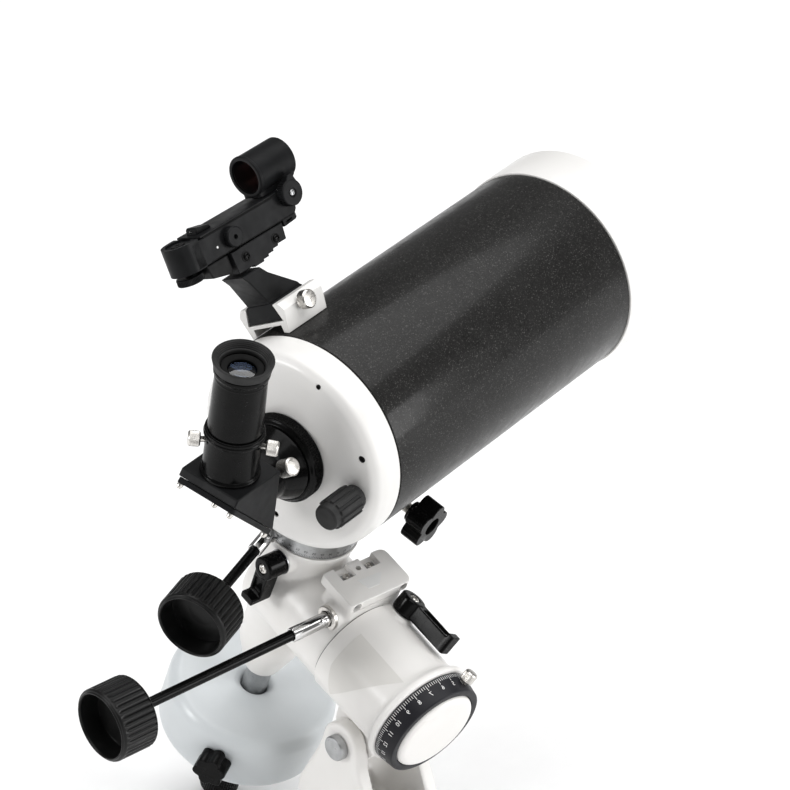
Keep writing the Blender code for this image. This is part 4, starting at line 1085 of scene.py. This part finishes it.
def build_head_fittings():
    ra_way = joint_frame("ra_slow_motion")
    dec_way = joint_frame("declination_slow_motion")
    slow_drive("ra", ra_way, 6.0, 46, 33, 172)
    slow_drive("declination", dec_way, 5.2, 34, 22, 90)
    for prefix, way, low, rim, tall in (("ra", ra_way, 0, 8.8, 3), ("declination", dec_way, -2, 7.6, 2)):
        bearing = [(5.6, -1), (rim, -1), (rim, tall - 0.6), (rim - 0.6, tall), (5.6, tall)]
        bush = turned(prefix + "_worm_bush", fillet(bearing, 0.3, closed=True), move(way, 0, 0, low),
                      "nickel", 64)
        rides_with(bush, "head_casting")
        # The set screw is on the side where the observer stands.
        across = way.to_3x3().inverted() @ OBSERVER_SIDE
        side = aim(way, (0, 0, 8.5), (across.x, across.y, 0))
        phillips(prefix + "_set_screw", 2.6, move(side, 0, 0, 4.7), prefix + "_worm", "chrome", 1.6)

    lever("declination_lever", "declination_lock_lever", joint_turned("declination_lock_turn", (0, 0, 1)),
          8.4, 15, 6.2, 4, 14.4, 29, 21)
    lever_seat = rod("declination_lever_seat", 8.9, -1.6, -0.2, joint_frame("declination_lock_turn"),
                     "steel", 96)
    rides_with(lever_seat, "head_casting")

    shaft = [(0, -230), (6, -230), (6, -206), (8.2, -206), (9, -205), (9, -64), (0, -64)]
    stands_for(turned("weight_shaft", refine(fillet(shaft, 0.3), 12), HEAD, "steel", 96),
               "counterweight_shaft")
    stop = [(6.4, -229), (12, -229), (14, -227), (14, -208), (12, -206.4), (6.4, -206.4)]
    stands_for(turned("shaft_stop", fillet(refine(stop, 1.5), 0.8, 2, closed=True), HEAD, "gloss", 192,
                      ribs(48, 0.35, -226.5, -208.5, 0.7)), "shaft_end_stop")
    weight = [(9.4, -160), (56, -160), (60, -154), (60, -120), (55, -113), (9.4, -113)]
    iron = turned("weight_body", fillet(weight, 7, 8, closed=True), HEAD, "weight", 192)
    weight_way = joint_frame("counterweight_screw_turn")
    carve(iron, hole(4, 5, 70, weight_way, 32))
    stands_for(iron, "counterweight")
    post = turned("weight_screw", [(0, 10.2), (3.5, 10.2), (3.5, 62), (0, 62)], weight_way, "steel", 48)
    stands_for(post, "counterweight_screw")
    grip = prism("weight_knob", star(12, 2.6, 6, 144, 0.6), 60.8, 74, weight_way, "gloss", 30)
    rides_with(soften(grip, 1.4, 4, 45), "counterweight_screw")


# ---------------------------------------------------------------- polar axis housing

def label_on_barrel(corners):
    """A thin blank label on the polar barrel. Corners are in millimetres along and degrees round the axis."""
    steps = 12
    bm = bmesh.new()
    layers = []
    for lift in (-0.4, 0.2):
        grid = []
        for row in range(steps + 1):
            for column in range(steps + 1):
                u, v = row / steps, column / steps
                near = [a + (b - a) * u for a, b in zip(corners[0], corners[1])]
                far = [a + (b - a) * u for a, b in zip(corners[2], corners[3])]
                along, degrees = (a + (b - a) * v for a, b in zip(near, far))
                angle = math.radians(degrees)
                reach = 37 + (along + 66) / 61 + lift
                grid.append(bm.verts.new((reach * math.cos(angle), along, reach * math.sin(angle))))
        layers.append(grid)

    def at(layer, row, column):
        return layers[layer][row * (steps + 1) + column]

    for row in range(steps):
        for column in range(steps):
            for layer in (0, 1):
                bm.faces.new((at(layer, row, column), at(layer, row + 1, column),
                              at(layer, row + 1, column + 1), at(layer, row, column + 1)))
    for step in range(steps):
        for side in (0, steps):
            bm.faces.new((at(0, step, side), at(0, step + 1, side), at(1, step + 1, side), at(1, step, side)))
            bm.faces.new((at(0, side, step), at(0, side, step + 1), at(1, side, step + 1), at(1, side, step)))
    return mesh_piece("barrel_label", bm, HEAD, "facet")


def build_polar_housing():
    along = turn(HEAD, -90, "X")
    barrel = [(0, -66), (37, -66), (36, -127), (36.6, -130.6), (41, -133.4), (41, -138), (31, -138),
              (31, -153.5), (28, -156), (0, -156)]
    housing = turned("polar_casting", fillet(refine(barrel, 20), 1.4, 3), along, "casting", 192)
    lug = side_prism("lug",
                     [(-128, -22), (-128, -44), (-120, -60), (-108, -66), (-96, -60), (-88, -44),
                      (-86, -22)], -20, 20, HEAD, "casting")
    lock = move(joint_frame("ra_lock_turn"), 0, 0, 39)
    seat = turned("seat", [(0, -15), (11.5, -15), (9.4, -1.6), (8.8, -0.4), (0, -0.4)], lock, "casting", 64)
    weld(housing, lug, seat)
    cast(housing, 1.05, 4)
    pin_way = aim(PIVOT, (0, 0, 0), (1, 0, 0))
    carve(housing, gap((-60, -70.8, -60), (60, -40, 60), HEAD), hole(10.6, -150, -60, along),
          hole(6.2, -60, 60, pin_way))
    stands_for(housing, "polar_housing")
    seam = [(24.2, -70.8), (36.1, -70.8), (36.1, -70.0), (24.2, -70.0)]
    rides_with(turned("polar_seal", seam, along, "optical", 128), "polar_housing")
    worm_wheel = [(0, -149), (10, -149), (10, -66), (22.3, -65.6), (22.3, -52), (10, -51.6), (9.8, -14),
                  (0, -14)]
    stands_for(turned("polar_spindle", fillet(refine(worm_wheel, 6), 0.5, 2), along, "steel", 260,
                      ribs(65, 0.7, -65.5, -52.1)), "polar_axle")

    label = label_on_barrel(((-81.5, 117.4), (-127.7, 117.8), (-81.1, 164.3), (-87.8, 201.6)))
    rides_with(label, "polar_housing")
    dial = [(31.5, -138.5), (38.5, -138.5), (38.5, -139.4), (36.5, -152.4), (35.9, -153), (31.5, -153)]
    ring = turned("ra_dial_ring", fillet(dial, 0.3, 2, closed=True), along, "dial", 192)
    screw_way = joint_frame("ra_dial_screw_turn")
    carve(ring, hole(2.3, 36, 45, screw_way, 24))
    stands_for(ring, "ra_setting_circle")
    outward = turn(HEAD, 90, "X")  # Z away from the pole
    marks = scale_marks("ra_dial_marks", outward, "white_ink_and_highlight",
                        lambda s: (38.5 - 2 * max(0, s - 0.4) / 13, 139 + s), 144, 6, (4.6, 2.6),
                        [str(hour) for hour in range(24)], 4.4)
    rides_with(marks, "ra_setting_circle")
    thumbscrew("ra_dial_thumbscrew", "ra_circle_screw", screw_way, 37.2, 39.2, 47, 4.6)

    lever("ra_lever", "ra_lock_lever", move(joint_turned("ra_lock_turn", (0, 1, 0)), 0, 0, 39), 9.4, 13,
          5.6, 1.5, 12.6, 42, 15.5)


# ---------------------------------------------------------------- base

def build_base():
    foot = [(0, 0), (50, 0), (52, 2), (52, 12), (46, 18), (42, 26), (0, 26)]
    casting = turned("base_casting", fillet(foot, 1.2), WORLD, "casting", 160)
    down = -PIVOT.translation.z / MM
    cheek = [(-34, down + 20), (46, down + 20), (44, -46), (20, -6), (14, 12), (0, 18), (-12, 13), (-17, 2),
             (-17, -14), (-34, -58)]
    cheek = fillet(cheek, 8, 5, closed=True)
    sides = ((-31, -20.8), (20.8, 31))
    cheeks = [side_prism("cheek", cheek, low, high, PIVOT, "casting") for low, high in sides]
    webs = [block("web", (-22, near, down + 20), (22, near + 14, -52), PIVOT, "casting")
            for near in (-38, 26)]
    weld(casting, *cheeks, *webs)
    cast(casting, 1.3, 4)
    pin_way = aim(PIVOT, (0, 0, 0), (1, 0, 0))
    bolt_way = joint_frame("latitude_screw_turn")
    carve(casting, hole(6.2, -60, 60, pin_way), hole(5.2, -45, 45, bolt_way),
          gap((-80, -80, -30), (80, 80, 0), WORLD))
    stands_for(casting, "latitude_base")

    pin = [(0, -37), (8.2, -37), (9, -36), (9, -31.5), (5.8, -31.5), (5.8, 31.5), (9, 31.5), (9, 36),
           (8.2, 37), (0, 37)]
    stands_for(turned("latitude_pivot", fillet(pin, 0.4), pin_way, "steel", 96), "latitude_pin")
    bolt_at = move(PIVOT, 0, 0, -60)
    way = aim(bolt_at, (0, 0, 0), (0, -1, 0))
    rod_profile = refine([(0, 14), (4.8, 14), (4.8, 66), (6.2, 66.5), (6.2, 72), (0, 72)], 0.8)
    rod_profile = [(r - (0.5 if r == 4.8 and step % 2 else 0), z) for step, (r, z) in enumerate(rod_profile)]
    stands_for(turned("latitude_screw", rod_profile, way, "steel", 64), "latitude_bolt")
    grip = block("latitude_grip", (-20, -78, -4), (20, -70, 4), bolt_at, "steel")
    rides_with(soften(grip, 2.4, 5), "latitude_bolt")


# ---------------------------------------------------------------- stage

WORLD_LIGHT = 0.2
CEILING_LIGHT = 3.3
CEILING_DIRECTION = (-0.15, 0.12, -1)
CEILING_SPREAD = 75
# Name, place and target in metres from the crossing of the axes, size in metres, watts.
SOFTBOXES = (("left", (-2.4, 0.9, 0.9), (0, 0, 0.1), 0.7, 26),
             ("right", (1.4, -2.1, 0.45), (0, 0, -0.05), 1.0, 24),
             ("front", (-0.6, -2.4, 0.3), (0, 0, -0.1), 1.0, 5))
CAMERA_PLACE = Vector((-1.5207, -1.8033, 1.3796))
CAMERA_FALL = 27.8
CAMERA_HEADING = -41.8
CAMERA_LENS = 184.15
CAMERA_SENSOR = 36
FLOOR_REACH = 4000

def build_floor():
    bm = bmesh.new()
    far = FLOOR_REACH
    corners = ((-far, -far), (far, -far), (far, far), (-far, far))
    bm.faces.new([bm.verts.new((x, y, 0)) for x, y in corners])
    floor = mesh_piece("floor", bm, Matrix.Translation((0, 0, packed_bounds[0].z - 0.0005)), "floor")


def soft_light(name, place, target, size, watts):
    """A square softbox, placed and aimed in metres from where the axes cross."""
    lamp = bpy.data.lights.new(name, "AREA")
    lamp.shape = "SQUARE"
    lamp.size = size
    lamp.energy = watts
    holder = bpy.data.objects.new(name, lamp)
    bpy.context.scene.collection.objects.link(holder)
    holder.location = CROSSING + Vector(place)
    holder.rotation_euler = (Vector(target) - Vector(place)).to_track_quat("-Z", "Y").to_euler()


def broad_light(name, direction, spread, strength):
    """An even light from far away, shining along a direction, softened over a cone of some degrees."""
    lamp = bpy.data.lights.new(name, "SUN")
    lamp.angle = math.radians(spread)
    lamp.energy = strength
    holder = bpy.data.objects.new(name, lamp)
    bpy.context.scene.collection.objects.link(holder)
    holder.rotation_euler = Vector(direction).to_track_quat("-Z", "Y").to_euler()


def build_studio():
    world = bpy.data.worlds.new("studio")
    bpy.context.scene.world = world
    world.use_nodes = True
    background = world.node_tree.nodes["Background"]
    background.inputs["Color"].default_value = (1, 1, 1, 1)
    background.inputs["Strength"].default_value = WORLD_LIGHT
    broad_light("ceiling", CEILING_DIRECTION, CEILING_SPREAD, CEILING_LIGHT)
    for lamp in SOFTBOXES:
        soft_light(*lamp)
    camera = bpy.data.objects.new("camera", bpy.data.cameras.new("camera"))
    bpy.context.scene.collection.objects.link(camera)
    camera.data.lens = CAMERA_LENS
    camera.data.sensor_width = CAMERA_SENSOR
    camera.location = CROSSING + CAMERA_PLACE
    camera.rotation_euler = (math.radians(90 - CAMERA_FALL), 0, math.radians(CAMERA_HEADING))
    bpy.context.scene.camera = camera
    bpy.context.scene.view_settings.view_transform = "Standard"


build_tube()
build_mirror_carrier()
build_rear_cell()
build_diagonal()
build_eyepiece()
build_shoe()
build_foot()
build_finder()
build_declination()
build_head()
build_worm_cover()
build_head_fittings()
build_polar_housing()
build_base()
build_floor()
build_studio()
